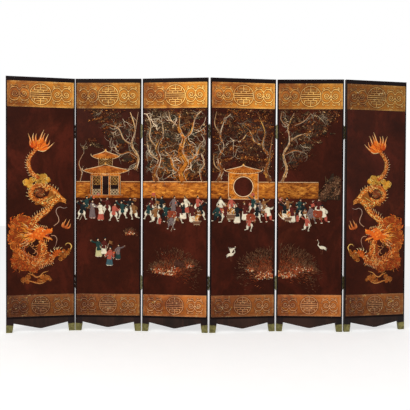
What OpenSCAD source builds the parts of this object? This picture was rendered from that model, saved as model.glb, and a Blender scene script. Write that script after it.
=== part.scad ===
// Folding lacquer screen: six hinged leaves on brass-shod legs, with applied relief and gilt bands.
// Leaf frame: X runs along the leaf from its left edge, -Y is the pictured front, Z is up from the floor.
// The whole screen has the same axes, with its origin on the floor under the middle of its box.

/* [Screen] */
// Height of a leaf, from the floor to its top edge
leaf_h = 1830; // [1525:5:2200]
// Width of one leaf
leaf_w = 478; // [398:2:580]
// Thickness of one leaf without its relief
leaf_t = 22; // [18:0.5:30]
// Gap between two leaves that stand in line
joint_gap = 10; // [8.2:0.2:14]

/* [Stance] */
// Heading of the first leaf, positive where its right edge stands further back
first_heading = 8; // [-12:0.5:12]
// Turn from leaf 1 to leaf 2, positive where the joint between them points to the front
fold_1_2 = -13; // [-16:0.5:60]
// Turn from leaf 2 to leaf 3
fold_2_3 = -4.5; // [-60:0.5:16]
// Turn from leaf 3 to leaf 4
fold_3_4 = 13.5; // [-16:0.5:60]
// Turn from leaf 4 to leaf 5
fold_4_5 = -9; // [-60:0.5:16]
// Turn from leaf 5 to leaf 6
fold_5_6 = 13; // [-16:0.5:60]

/* [Frame of a leaf] */
// Thickness of the face board on each side of the frame
board_t = 4; // [3:0.5:6]
// Width of a stile and of the leg below it
stile_w = 50; // [40:1:70]
// Height of the top rail
top_rail_h = 64; // [40:1:90]
// Height of the middle rail
mid_rail_h = 60; // [40:1:90]
// Height of the middle rail's centre
mid_rail_z = 900; // [700:10:1100]
// Height of the rail behind the lower gilt band
low_rail_h = 70; // [50:1:100]
// Thickness of the tenons and tongues
tenon_t = 5; // [4:0.5:6]
// Length of a rail's tenons
tenon_l = 32; // [20:1:38]
// Planks side by side in each field of the core
planks = 3; // [2:1:4]

/* [Legs and apron] */
// Width of a leg at the floor
foot_w = 41; // [34:1:50]
// Height over which a leg narrows
taper_h = 62; // [56:1:80]
// Height of the apron's edge beside the legs
apron_side_z = 66; // [58:1:90]
// Height of the apron's tip in the middle of the leaf
apron_tip_z = 26; // [15:1:50]
// Length over which the apron's tip is rounded, each way from the middle
apron_r = 16; // [4:1:30]
// Height at which the face boards end on top of the apron
board_z = 98; // [92:1:110]

/* [Sabots] */
// Height of a brass foot cap at the edge of the leaf
sabot_out_h = 56; // [40:1:60]
// Height of a foot cap at the inner side of the leg
sabot_in_h = 51; // [36:1:60]
// Wall of a foot cap
sabot_t = 1.2; // [0.8:0.1:2]
// How far a foot cap stands proud of the leg
sabot_proud = 0.5; // [0.2:0.1:0.8]

/* [Hinges] */
// Height of a hinge
hinge_h = 92; // [60:1:140]
// Distance from the top edge down to the upper hinges' centres
upper_hinge_down = 380; // [260:10:600]
// Height of the lower hinges' centres
lower_hinge_z = 355; // [300:5:600]
// Knuckles of one hinge
knuckles = 5; // [3:2:7]
// Clearance between the knuckles and the edges of the leaves
knuckle_clear = 0.4; // [0.3:0.1:1]
// Radius of the hinge pins
pin_r = 2.5; // [1.5:0.1:3]
// Running clearance round a pin
pin_clear = 0.05; // [0.02:0.01:0.1]
// Thickness of a hinge plate
plate_t = 1.6; // [1:0.1:2]
// Depth to which a plate is let in across the leaf's edge
plate_w = 14; // [10:0.5:17]
// How far the pins stand off the face that the leaves fold on to
pin_off = 5.5; // [5:0.1:9]
// Gap between two knuckles
knuckle_gap = 0.4; // [0.2:0.1:1]
// Radius of the ball at each end of a pin
ball_r = 3.9; // [3:0.1:4]

/* [Gilt bands] */
// Lacquer above the upper band
top_margin = 31; // [20:1:50]
// Height of the upper band
top_band_h = 183; // [140:1:220]
// Height of the lower band's bottom edge
low_band_z = 114; // [112:1:140]
// Height of the lower band
low_band_h = 155; // [120:1:180]
// Lacquer beside the bands
band_side = 9; // [6:1:20]
// Thickness of a band's ground
band_t = 1; // [0.6:0.1:1.5]
// Rise of a band's ornament above its ground
ornament_t = 0.8; // [0.4:0.1:1.2]

/* [Relief] */
// Rise of the applied figures above the lacquer
relief_t = 2.6; // [1:0.1:3.2]
// Rise of the applied buildings and walls
wall_relief_t = 1.6; // [0.8:0.1:3]

/* [Hidden] */
LEAVES = 6;

$fn = 48;
core_t = leaf_t - 2 * board_t;
inner_w = leaf_w - 2 * stile_w;
knuckle_h = hinge_h / knuckles;
knuckle_r = joint_gap / 2 - knuckle_clear;
hinge_z = [lower_hinge_z - hinge_h / 2, leaf_h - upper_hinge_down - hinge_h / 2];
plate_stop = 0.3;          // a plate ends this far short of the plane through its pin
web_h = 4.2;               // thickness of the neck between a plate and its knuckles
tenon_inset = 12;          // shoulder above and below a tenon
apron_tenon_l = 15;
tongue_h = 8;
plank_tongue = 5;
glue_line = 0.2;           // room for glue between two pieces of the core
eps = 0.01;

lacquer = [0.16, 0.07, 0.06];
wood = [0.62, 0.47, 0.3];
gilt = [0.72, 0.48, 0.2];
brass = [0.66, 0.53, 0.28];

// ---- Where each leaf stands --------------------------------------------------------------

folds = [fold_1_2, fold_2_3, fold_3_4, fold_4_5, fold_5_6];
// The pins stand behind the leaves at joints 1, 3 and 5 and in front of them at joints 2 and 4.
function pin_side(j) = j % 2 == 1 ? 1 : -1;
function pivot_y(j) = pin_side(j) * (leaf_t / 2 + pin_off);
function heading(n) = n == 1 ? first_heading : heading(n - 1) + folds[n - 2];
function turned(v, a) = [v.x * cos(a) - v.y * sin(a), v.x * sin(a) + v.y * cos(a)];
function chain(n) = n == 1 ? [0, 0] :
    chain(n - 1) + turned([leaf_w + joint_gap / 2, pivot_y(n - 1)], heading(n - 1))
    - turned([-joint_gap / 2, pivot_y(n - 1)], heading(n));

corners = [for (n = [1:LEAVES], x = [-sabot_proud, leaf_w + sabot_proud], y = [-1, 1])
    chain(n) + turned([x, y * (leaf_t / 2 + sabot_proud)], heading(n))];
fronts = [for (n = [1:LEAVES], x = [band_side, leaf_w - band_side])
    chain(n) + turned([x, -leaf_t / 2 - band_t], heading(n))];
pivots = [for (j = [1:LEAVES - 1], s = [-1, 1])
    chain(j) + turned([leaf_w + joint_gap / 2, pivot_y(j)], heading(j)) + s * [0, knuckle_r]];
outermost = concat(corners, fronts, pivots);
middle = [
    (min([for (p = outermost) p.x]) + max([for (p = outermost) p.x])) / 2,
    (min([for (p = outermost) p.y]) + max([for (p = outermost) p.y])) / 2];

module on_leaf(n) {
    place = chain(n) - middle;
    translate([place.x, place.y, 0]) rotate([0, 0, heading(n)]) children();
}

// A flat outline drawn in the leaf's X and Z, from depth y0 to y1
module upright(y0, y1) {
    translate([0, y1, 0]) rotate([90, 0, 0]) linear_extrude(y1 - y0) children();
}

module box(x0, x1, y0, y1, z0, z1) {
    translate([x0, y0, z0]) cube([x1 - x0, y1 - y0, z1 - z0]);
}

// The shape of a left-hand piece, and its mirror image at the leaf's right edge
module both_sides() {
    children();
    translate([leaf_w, 0, 0]) mirror([1, 0, 0]) children();
}

// ---- Frame -------------------------------------------------------------------------------

rail_spans = [
    [leaf_h - top_rail_h, leaf_h],
    [mid_rail_z - mid_rail_h / 2, mid_rail_z + mid_rail_h / 2],
    [board_z + glue_line, board_z + low_rail_h]];

module rail_tenons() {
    for (span = rail_spans)
        box(stile_w - tenon_l, stile_w + eps, -tenon_t / 2, tenon_t / 2,
            span[0] + tenon_inset, span[1] - tenon_inset);
}

module apron_tenon() {
    box(stile_w - apron_tenon_l, stile_w + eps, -tenon_t / 2, tenon_t / 2,
        apron_side_z + tenon_inset / 2, board_z - tenon_inset / 2);
}

// Recesses for the hinge plates of leaf n, in its edges and through the board on the pins' side
module hinge_seats(n) {
    for (z = hinge_z) {
        if (n > 1) plate_seat(0, pin_side(n - 1), z);
        if (n < LEAVES) plate_seat(leaf_w - plate_t, pin_side(n), z);
    }
}

module plate_seat(x, side, z) {
    y0 = side * (leaf_t / 2 - plate_w);
    y1 = side * (leaf_t / 2 + 1);
    box(x - (x == 0 ? 1 : 0), x + plate_t + (x == 0 ? 0 : 1), min(y0, y1), max(y0, y1), z, z + hinge_h);
}

function leg_x(z) = z < taper_h ? foot_w + (stile_w - foot_w) * z / taper_h : stile_w;
function sabot_top(x) = sabot_out_h + (sabot_in_h - sabot_out_h) * x / stile_w;
sabot_in_x = leg_x(sabot_in_h);

// The outline of a foot cap grown by g, or of the leg's end inside it where g is negative
module cap_outline(g, z0) {
    polygon([[-g, z0], [leg_x(z0) + g, z0], [sabot_in_x + g, sabot_top(sabot_in_x + g)],
        [-g, sabot_top(-g)]]);
}

module leg_and_stile() {
    shoulder = sabot_t - sabot_proud;
    upright(-core_t / 2, core_t / 2) polygon([[0, board_z], [stile_w, board_z], [stile_w, leaf_h],
        [0, leaf_h]]);
    upright(-leaf_t / 2, leaf_t / 2) polygon([[0, sabot_top(0)], [sabot_in_x, sabot_top(sabot_in_x)],
        [stile_w, taper_h], [stile_w, board_z], [0, board_z]]);
    upright(-leaf_t / 2 + shoulder, leaf_t / 2 - shoulder) cap_outline(-shoulder, sabot_t);
}

module stiles(n) {
    color(lacquer) difference() {
        both_sides() difference() {
            leg_and_stile();
            rail_tenons();
            apron_tenon();
        }
        hinge_seats(n);
    }
}

// A shallow V from leg to leg, whose tip is rounded by a parabola that both straight edges touch
module apron_outline() {
    mid = leaf_w / 2;
    slope = (apron_side_z - apron_tip_z) / (mid - stile_w - apron_r / 2);
    tip = [for (i = [-4:4]) let (u = i / 4)
        [mid + u * apron_r, apron_tip_z + slope * apron_r * u * u / 2]];
    polygon(concat([[stile_w, board_z], [stile_w, apron_side_z]], tip,
        [[leaf_w - stile_w, apron_side_z], [leaf_w - stile_w, board_z]]));
}

module rails() {
    color(wood) {
        for (i = [0:2]) difference() {
            union() {
                box(stile_w, leaf_w - stile_w, -core_t / 2, core_t / 2, rail_spans[i][0], rail_spans[i][1]);
                intersection() {
                    both_sides() rail_tenons();
                    box(0, leaf_w, -core_t, core_t, rail_spans[i][0], rail_spans[i][1]);
                }
            }
            if (i == 2)
                box(stile_w - 1, leaf_w - stile_w + 1, -tenon_t / 2, tenon_t / 2,
                    board_z - 1, board_z + glue_line + tongue_h);
        }
        upright(-leaf_t / 2, leaf_t / 2) apron_outline();
        both_sides() apron_tenon();
        box(stile_w + glue_line, leaf_w - stile_w - glue_line, -tenon_t / 2 + glue_line / 2,
            tenon_t / 2 - glue_line / 2, board_z - eps, board_z + tongue_h);
    }
}

// Planks glued edge to edge between the rails, with a tongue on each but the last
module core_planks() {
    plank_w = inner_w / planks;
    fields = [[rail_spans[2][1], rail_spans[1][0]], [rail_spans[1][1], rail_spans[0][0]]];
    color(wood) for (field = fields, i = [0:planks - 1]) {
        x = stile_w + i * plank_w;
        x_end = x + plank_w - glue_line;
        difference() {
            union() {
                box(x, x_end, -core_t / 2, core_t / 2, field[0], field[1]);
                if (i < planks - 1)
                    box(x_end - eps, x + plank_w + plank_tongue - glue_line,
                        -tenon_t / 2 + glue_line / 2, tenon_t / 2 - glue_line / 2, field[0], field[1]);
            }
            if (i > 0)
                box(x - 1, x + plank_tongue, -tenon_t / 2, tenon_t / 2, field[0] - 1, field[1] + 1);
        }
    }
}

module face_board(n, side) {
    color(lacquer) difference() {
        box(0, leaf_w, side > 0 ? core_t / 2 : -leaf_t / 2, side > 0 ? leaf_t / 2 : -core_t / 2,
            board_z, leaf_h);
        hinge_seats(n);
    }
}

// ---- Foot caps ---------------------------------------------------------------------------

module foot_caps() {
    shoulder = sabot_t - sabot_proud;
    color(brass) both_sides() difference() {
        upright(-leaf_t / 2 - sabot_proud, leaf_t / 2 + sabot_proud) cap_outline(sabot_proud, 0);
        upright(-leaf_t / 2 + shoulder, leaf_t / 2 - shoulder) {
            cap_outline(-shoulder, sabot_t);
            translate([0, sabot_in_h - sabot_t]) square([leg_x(sabot_in_h) - shoulder, 20]);
        }
    }
}

// ---- Hinges ------------------------------------------------------------------------------

// Half a hinge round a pin at the origin, its plate on the -X side and let in towards -Y
module hinge_half(first) {
    difference() {
        union() {
            box(-joint_gap / 2 - plate_t, -joint_gap / 2, -pin_off - plate_w, -plate_stop, 0, hinge_h);
            for (k = [first:2:knuckles - 1]) {
                z0 = k * knuckle_h + knuckle_gap / 2;
                z1 = (k + 1) * knuckle_h - knuckle_gap / 2;
                translate([0, 0, z0]) cylinder(r = knuckle_r, h = z1 - z0);
                box(-joint_gap / 2 - plate_t / 2, -knuckle_r / 2, -plate_stop - web_h, -plate_stop, z0, z1);
            }
        }
        translate([0, 0, -1]) cylinder(r = pin_r + pin_clear, h = hinge_h + 2);
    }
}

// The plates of leaf n: the first set at its left edge, the second at its right
module hinge_plates(n) {
    color(brass) for (z = hinge_z) {
        if (n > 1) translate([-joint_gap / 2, pivot_y(n - 1), z])
            mirror([1, 0, 0]) mirror([0, pin_side(n - 1) > 0 ? 0 : 1, 0]) hinge_half(1);
        if (n < LEAVES) translate([leaf_w + joint_gap / 2, pivot_y(n), z])
            mirror([0, pin_side(n) > 0 ? 0 : 1, 0]) hinge_half(0);
    }
}

// A pin with its ball and collar on top, and the ball that closes its lower end
module hinge_pin() {
    collar_h = 1.4;
    collar_r = knuckle_r - 0.4;
    top = hinge_h - knuckle_gap / 2;
    base = knuckle_gap / 2;
    end_l = ball_r;          // length of the pin's end inside the lower ball
    translate([0, 0, base - end_l]) cylinder(r = pin_r, h = top - base + end_l + eps);
    translate([0, 0, top]) cylinder(r = collar_r, h = collar_h);
    translate([0, 0, top + collar_h + ball_r * 0.8]) sphere(r = ball_r);
    difference() {
        union() {
            translate([0, 0, base - collar_h]) cylinder(r = collar_r, h = collar_h);
            translate([0, 0, base - collar_h - ball_r * 0.8]) sphere(r = ball_r);
        }
        translate([0, 0, base - end_l]) cylinder(r = pin_r + pin_clear, h = end_l + 1);
    }
}

module hinge_pins(j) {
    color(brass) translate([leaf_w + joint_gap / 2, pivot_y(j), 0])
        for (z = hinge_z) translate([0, 0, z]) hinge_pin();
}

// ---- Gilt bands --------------------------------------------------------------------------

function arc(c, r, a0, a1, steps = 12) =
    [for (i = [0:steps]) let (a = a0 + (a1 - a0) * i / steps) c + r * [cos(a), sin(a)]];

// A band of varying width along a smooth line: half-widths w0 at its start, w1 in the middle, w2 at its end
function smooth(p, t) =
    let (n = len(p) - 1, i = min(floor(t * n), n - 1), u = t * n - i,
        a = p[max(i - 1, 0)], b = p[i], c = p[i + 1], d = p[min(i + 2, n)])
    0.5 * (2 * b + (c - a) * u + (2 * a - 5 * b + 4 * c - d) * u * u + (3 * b - a - 3 * c + d) * u * u * u);
function width_at(w, t) = t < 0.5 ? w[0] + (w[1] - w[0]) * t * 2 : w[1] + (w[2] - w[1]) * (t * 2 - 1);
function side_point(p, w, t, s) =
    let (a = smooth(p, max(t - 0.005, 0)), b = smooth(p, min(t + 0.005, 1)), d = (b - a) / norm(b - a))
    smooth(p, t) + s * width_at(w, t) * [-d.y, d.x];

module ribbon(p, w, steps = 0) {
    n = steps > 0 ? steps : 5 * len(p);
    polygon(concat([for (i = [0:n]) side_point(p, w, i / n, 1)],
        [for (i = [n:-1:0]) side_point(p, w, i / n, -1)]));
}

// A spiral of half rings, each smaller than the last, starting at x = 0 and turning downwards
module spiral(r, w, turns = 4, up = 0) {
    translate([r, 0]) intersection() {
        difference() {
            circle(r = r + w / 2);
            circle(r = r - w / 2);
        }
        translate([-2 * r, up * 2 * r - 2 * r]) square([4 * r, 2 * r]);
    }
    if (turns > 1) translate([2 * r, 0]) mirror([1, 0]) spiral(r * 0.7, w * 0.9, turns - 1, 1 - up);
}

// A scroll of two opposed spirals with a bud between them and a leaf below each
module scroll(s) {
    for (m = [0, 1]) mirror([m, 0]) {
        translate([2 * s, 0]) spiral(23 * s, 6 * s);
        ribbon(s * [[4, -24], [24, -38], [52, -30]], s * [1.5, 4.5, 1], 6);
        ribbon(s * [[4, 24], [20, 34], [44, 30]], s * [1.5, 4, 1], 6);
    }
    for (y = [-16, 24]) translate([0, y * s]) circle(r = 5.5 * s, $fn = 24);
}

// A round medallion: a ring round a fret of level bars that is the same on all four sides of its middle
module roundel(r) {
    bar = r * 0.075;
    difference() {
        circle(r = r);
        circle(r = r - bar);
    }
    square([r * 1.9, bar], center = true);
    for (s = [-1, 1]) {
        translate([0, s * r * 0.2]) square([r * 1.9, bar], center = true);
        translate([0, s * r * 0.42]) square([r * 1.2, bar], center = true);
        translate([0, s * r * 0.64]) square([r * 0.76, bar], center = true);
        translate([0, s * r * 0.66]) square([bar, r * 0.56], center = true);
        for (t = [-1, 1]) {
            translate([s * r * 0.6, t * r * 0.51]) square([bar, r * 0.26], center = true);
            translate([s * r * 0.25, t * r * 0.31]) square([bar, r * 0.22], center = true);
        }
    }
}

// One band from height z: its ground, a raised line along each edge, the roundel and two scrolls
module gilt_band(z, h) {
    w = leaf_w - 2 * band_side;
    face = -leaf_t / 2;
    line = 2.4;
    box(band_side, leaf_w - band_side, face - band_t, face, z, z + h);
    upright(face - band_t - ornament_t, face - band_t + eps) {
        translate([band_side, z]) difference() {
            square([w, h]);
            translate([line, line]) square([w - 2 * line, h - 2 * line]);
        }
        translate([leaf_w / 2, z + h / 2]) {
            roundel(min(h * 0.4, w * 0.16));
            for (s = [-1, 1]) translate([s * w * 0.318, 0]) scroll(min(h / 165, w / 420));
        }
    }
}

module gilt_bands() {
    color(gilt) {
        gilt_band(leaf_h - top_margin - top_band_h, top_band_h);
        gilt_band(low_band_z, low_band_h);
    }
}

// ---- Applied picture ---------------------------------------------------------------------

// The pictures below are drawn for a field of this width and from this height up to that one. On a leaf of
// another size they are scaled to fit between its gilt bands and centred there.
DRAWN_W = 478;
DRAWN_Z = [269, 1616];
GARDEN_Z = 968;            // foot of the garden wall in the drawings
WALL_H = 114;              // height of the garden wall
field = [low_band_z + low_band_h, leaf_h - top_margin - top_band_h];
picture_scale = min(leaf_w / DRAWN_W, (field[1] - field[0]) / (DRAWN_Z[1] - DRAWN_Z[0]));

module applied(t = relief_t) {
    upright(-leaf_t / 2 - t, -leaf_t / 2)
        translate([leaf_w / 2, (field[0] + field[1]) / 2]) scale(picture_scale)
            translate([-DRAWN_W / 2, -(DRAWN_Z[0] + DRAWN_Z[1]) / 2]) children();
}

// Round lobes of cloud or foliage, each given by its middle and its radius
module puffs(list) {
    for (p = list) translate([p.x, p.y]) circle(r = p.z, $fn = 32);
}

// A fan of n tongues of flame or hair from bearing a0 to a1, long and short in turn
module flames(n, a0, a1, long, short, w) {
    for (i = [0:n - 1]) rotate(a0 + (a1 - a0) * i / (n - 1)) {
        reach = i % 2 == 0 ? long : short;
        ribbon(reach * [[0, 0], [0.35, 0.09], [0.7, 0.03], [1, -0.08]], w * [0.8, 1, 0.1], 12);
    }
}

// A length of the dragon's body with n spines along one side of it
module crested(line, w, side, n) {
    ribbon(line, w, 4 * len(line));
    for (i = [1:n]) let (t = i / (n + 1))
        polygon([side_point(line, w, t + 0.012, side * 0.8), side_point(line, w, t - 0.012, side * 0.8),
            side_point(line, w, t - 0.02, side * 1.5)]);
}

// A foot of hooked toes, spread like a hand
module claw(toes, reach) {
    circle(r = 14, $fn = 24);
    for (k = [0:toes - 1]) rotate(-70 + 140 * k / (toes - 1))
        ribbon([[4, 0], [reach * 0.45, 5], [reach * 0.8, 1], [reach * 1.12, -9]], [6, 5, 0.8], 12);
}

// The head in profile, facing along x: skull and muzzle, jaw, horns, crest and beard
module dragon_head() {
    ribbon([[-44, 2], [0, 4], [46, 18], [86, 24]], [38, 36, 13], 16);
    ribbon([[14, -14], [46, -28], [86, -46]], [13, 10, 2], 12);
    for (h = [26, 34, 42]) ribbon([[-10, h], [-42, h + 16], [-74, h + 22]], [5, 4, 0.8], 10);
    for (i = [0:5]) translate([-28 + 14 * i, 38 - abs(i - 2)]) rotate(112)
        ribbon([[0, 0], [12, 1], [26, -3]], [4, 3, 0.6], 6);
    for (i = [0:4]) translate([4 + 14 * i, -34 - i]) rotate(-104)
        ribbon([[0, 0], [14, 2], [32, -2]], [4, 3, 0.6], 6);
}

// The clouds that the dragon coils through
module dragon_clouds() {
    puffs([[140, 1076, 26], [166, 1052, 24], [178, 1094, 24], [218, 1112, 26], [224, 1080, 24], [258, 1112, 30],
        [264, 1082, 24], [286, 1096, 20]]);
    puffs([[62, 792, 27], [96, 814, 26], [134, 812, 24], [162, 790, 22], [50, 756, 20], [88, 774, 26], [126, 776, 24],
        [44, 716, 20], [38, 668, 23], [60, 636, 24], [92, 622, 20], [78, 664, 26], [84, 710, 28]]);
    puffs([[70, 590, 20], [66, 552, 20], [54, 512, 22], [66, 478, 22], [98, 500, 24], [110, 464, 22], [148, 462, 23],
        [186, 448, 20], [136, 498, 24], [176, 486, 24]]);
    puffs([[378, 526, 18], [402, 548, 20], [424, 566, 17], [376, 560, 18], [400, 582, 15], [438, 590, 12]]);
    puffs([[120, 378, 20], [152, 396, 20], [148, 364, 18], [184, 384, 15], [214, 376, 18], [250, 396, 20],
        [228, 366, 18], [284, 388, 20], [304, 376, 14], [260, 370, 18]]);
}

// Leaf 1's dragon, head down: flaming tail, coil, neck, mane and head, and the two bends of its lower body
module dragon() {
    translate([236, 1334]) {
        circle(r = 40);
        flames(8, 134, 15, 122, 98, 10);
    }
    crested([[226, 1330], [170, 1266], [156, 1198], [192, 1132], [226, 1104]], [8, 15, 18], -1, 12);
    difference() {
        union() {
            translate([232, 1006]) circle(r = 62);
            crested([[250, 1058], [310, 1036], [366, 984], [414, 946]], [16, 26, 4], 1, 7);
            ribbon([[372, 958], [330, 936], [280, 930], [206, 936]], [18, 26, 9], 18);
        }
        translate([229, 1010]) circle(r = 21);
    }
    for (i = [0:2]) translate([384, 964 - 11 * i]) rotate(-38) ribbon([[0, 0], [18, 3], [36, -3]], [6, 5, 0.8], 8);
    crested([[326, 930], [264, 856], [190, 792], [170, 752]], [14, 24, 22], -1, 12);
    translate([214, 706]) flames(11, 142, 222, 176, 136, 13);
    crested([[92, 640], [92, 592], [150, 518], [250, 500], [336, 548]], [15, 26, 15], 1, 13);
    ribbon([[238, 664], [262, 590], [246, 536], [224, 500]], [22, 26, 20], 18);
    translate([236, 706]) dragon_head();
    ribbon([[330, 764], [362, 800], [347, 858], [372, 900], [424, 899]], [2.6, 2.8, 1.2], 28);
    ribbon([[310, 694], [346, 686], [350, 640], [336, 610]], [2.6, 2.6, 1.2], 18);
    translate([414, 754]) {
        circle(r = 13);
        flames(4, 122, 46, 66, 46, 7);
    }
    ribbon([[446, 588], [454, 616], [438, 638], [412, 624]], [4, 4, 1], 16);
    translate([352, 558]) rotate(150) claw(5, 50);
    translate([366, 578]) rotate(60) scale(0.8) claw(3, 40);
    ribbon([[146, 424], [184, 412], [206, 396], [256, 424], [292, 438]], [2, 6, 1.6], 20);
}

// The garden wall from x0 to x1, under a coping and a row of tile ends
module wall(x0, x1) {
    coping = 12;
    translate([x0, GARDEN_Z]) {
        square([x1 - x0, WALL_H - coping]);
        translate([0, WALL_H - coping + 3]) square([x1 - x0, coping - 3]);
        for (x = [4:18:x1 - x0 - 10]) translate([x, WALL_H - coping - 2]) square([6, 6]);
    }
}

// Trunks and branches: each has its half-width at the root and the points that it passes
module boughs(list) {
    for (b = list) ribbon(b[1], b[0] * [1, 0.65, 0.2], 4 * len(b[1]));
}

// Pads of leaves in staggered rows, from the top of the field down to a height given along its width
module canopy(lows) {
    pad = 26;
    for (k = [0:8], i = [0:7]) {
        x = 34 + i * 58 + (k % 2) * 26 + 5 * sin(97 * k);
        z = DRAWN_Z[1] - 44 - k * 54 + 8 * sin(131 * i + 61 * k);
        if (x < DRAWN_W - 34 && z > lookup(x, lows) + pad / 2)
            translate([x, z]) circle(r = pad + 4 * sin(73 * i + 41 * k));
    }
}

// A figure in a wide robe, facing along x, with a knot of hair and one arm held out
module figure(h) {
    k = h / 118;
    polygon(k * concat([[-20, 0], [22, 0], [15, 40], [13, 58], [15, 78]], arc([0, 80], 12, 20, 160, 5),
        [[-15, 78], [-13, 58], [-17, 36]]));
    translate(k * [1, 100]) circle(r = 8 * k, $fn = 24);
    translate(k * [-4, 110]) circle(r = 5 * k, $fn = 20);
    ribbon(k * [[6, 80], [21, 73], [35, 78]], k * [5, 4.6, 3.2], 8);
}

// People of one picture: each has its place, its height and the side it faces
module people(list) {
    for (p = list) translate([p[0], p[1]]) mirror([p[3] > 0 ? 0 : 1, 0]) figure(p[2]);
}

// A fan of fine grass with blossoms at its tips
module plant(reach, bearing) {
    for (k = [-3:3]) rotate(bearing + 19 * k) {
        length = reach * (0.8 + 0.2 * cos(140 * k));
        ribbon([[0, 0], [length / 2, 5], [length, 0]], [1.6, 1.5, 0.9], 8);
        translate([length, 0]) circle(r = 5, $fn = 20);
    }
}

// A garden rock with two leaning heads
module rock(w, h) {
    hull() {
        translate([-w * 0.35, h * 0.25]) circle(r = w * 0.16);
        translate([-w * 0.1, h * 0.85]) circle(r = w * 0.15);
        translate([-w * 0.42, 0]) square([w * 0.84, 1]);
    }
    hull() {
        translate([w * 0.28, h * 0.5]) circle(r = w * 0.17);
        translate([0, 0]) square([w * 0.46, 1]);
    }
}

// A roof with upturned eaves, w wide from tip to tip, with the ends of its tiles and a finial
module roof(w, h, tiles) {
    foot = function (u) [u * w / 2, h * 0.34 * pow(abs(u), 3)];
    polygon(concat([for (i = [-6:6]) foot(i / 6)],
        [for (i = [6:-1:-6]) let (u = i / 6) [u * w * 0.46, h * (1 - pow(abs(u), 0.7) * 0.55)]]));
    for (i = [0:tiles - 1]) translate(foot(-0.9 + 1.8 * i / (tiles - 1))) circle(r = 4, $fn = 20);
    translate([0, h]) circle(r = h * 0.16, $fn = 24);
}

// A grid of bars that fills w by h, with square openings between them
module lattice(w, h, across, up) {
    bar = 2.4;
    for (i = [0:across]) translate([i * (w - bar) / across, 0]) square([bar, h]);
    for (i = [0:up]) translate([0, i * (h - bar) / up]) square([w, bar]);
}

// Two storeys on a terrace: posts, balustrades and windows under a wide roof and a small one
module pavilion() {
    post = 12;
    terrace = 22;
    head = 158;
    square([250, terrace]);
    for (x = [18, 90, 148, 220]) translate([x, terrace - 1]) square([post, head - terrace + 2]);
    for (x = [18, 148]) translate([x, 0]) {
        translate([post, terrace]) lattice(60, 38, 5, 2);
        translate([post, 100]) lattice(60, head - 99, 5, 4);
    }
    translate([16, head]) square([218, 20]);
    translate([125, 172]) roof(330, 74, 13);
    translate([75, 232]) difference() {
        square([100, 54]);
        for (x = [10, 55]) translate([x, 12]) square([35, 30]);
    }
    translate([125, 280]) roof(200, 62, 9);
}

// A wall with a round doorway in a raised ring, under a tiled roof
module moon_gate() {
    door_r = 72;
    difference() {
        translate([-110, 0]) square([220, 190]);
        translate([0, 92]) circle(r = door_r);
    }
    translate([0, 186]) roof(270, 60, 11);
}

module gate_ring() {
    translate([0, 92]) difference() {
        circle(r = 79);
        circle(r = 72);
    }
}

module crane() {
    puffs([[-12, 4, 12], [2, 4, 14], [14, 6, 10]]);
    ribbon([[-10, 4], [-28, -2], [-42, -10]], [8, 6, 1], 8);
    ribbon([[16, 8], [34, 26], [28, 44], [37, 64]], [5, 3.4, 3], 12);
    translate([37, 66]) circle(r = 5, $fn = 20);
    ribbon([[40, 66], [48, 65], [57, 62]], [2, 1.4, 0.6], 6);
    for (x = [-2, 8]) ribbon([[x, -4], [x - 1, -26], [x, -48]], [1.6, 1.4, 1.4], 4);
}

// The low parts of each picture, behind the figures, trunks and buildings that stand out further
module picture_ground(n) {
    if (n == 1) dragon_clouds();
    if (n == 2) {
        wall(6, 108);
        wall(332, DRAWN_W - 6);
        canopy([[0, 1620], [150, 1560], [230, 1420], [300, 1300], [380, 1200], [478, 1130]]);
        people([[84, 858, 112, 1], [232, 850, 114, -1], [386, 862, 108, 1], [208, 560, 130, 1]]);
    }
    if (n == 3) {
        wall(6, DRAWN_W - 6);
        canopy([[0, 1130], [120, 1170], [240, 1120], [360, 1150], [478, 1110]]);
        people([[60, 866, 110, 1], [140, 860, 112, -1], [228, 866, 108, 1], [322, 862, 112, -1], [404, 868, 108, 1]]);
    }
    if (n == 4) {
        wall(6, 130);
        wall(350, DRAWN_W - 6);
        translate([240, GARDEN_Z]) moon_gate();
        canopy([[0, 1160], [110, 1210], [240, 1290], [350, 1210], [478, 1150]]);
        people([[76, 860, 110, 1], [156, 866, 108, -1], [310, 866, 112, 1], [392, 862, 108, -1]]);
    }
    if (n == 5) {
        wall(6, 300);
        canopy([[0, 1170], [110, 1200], [190, 1300], [260, 1440], [330, 1560], [478, 1620]]);
        people([[78, 864, 110, -1], [160, 858, 112, 1], [300, 850, 110, -1]]);
    }
}

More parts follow.
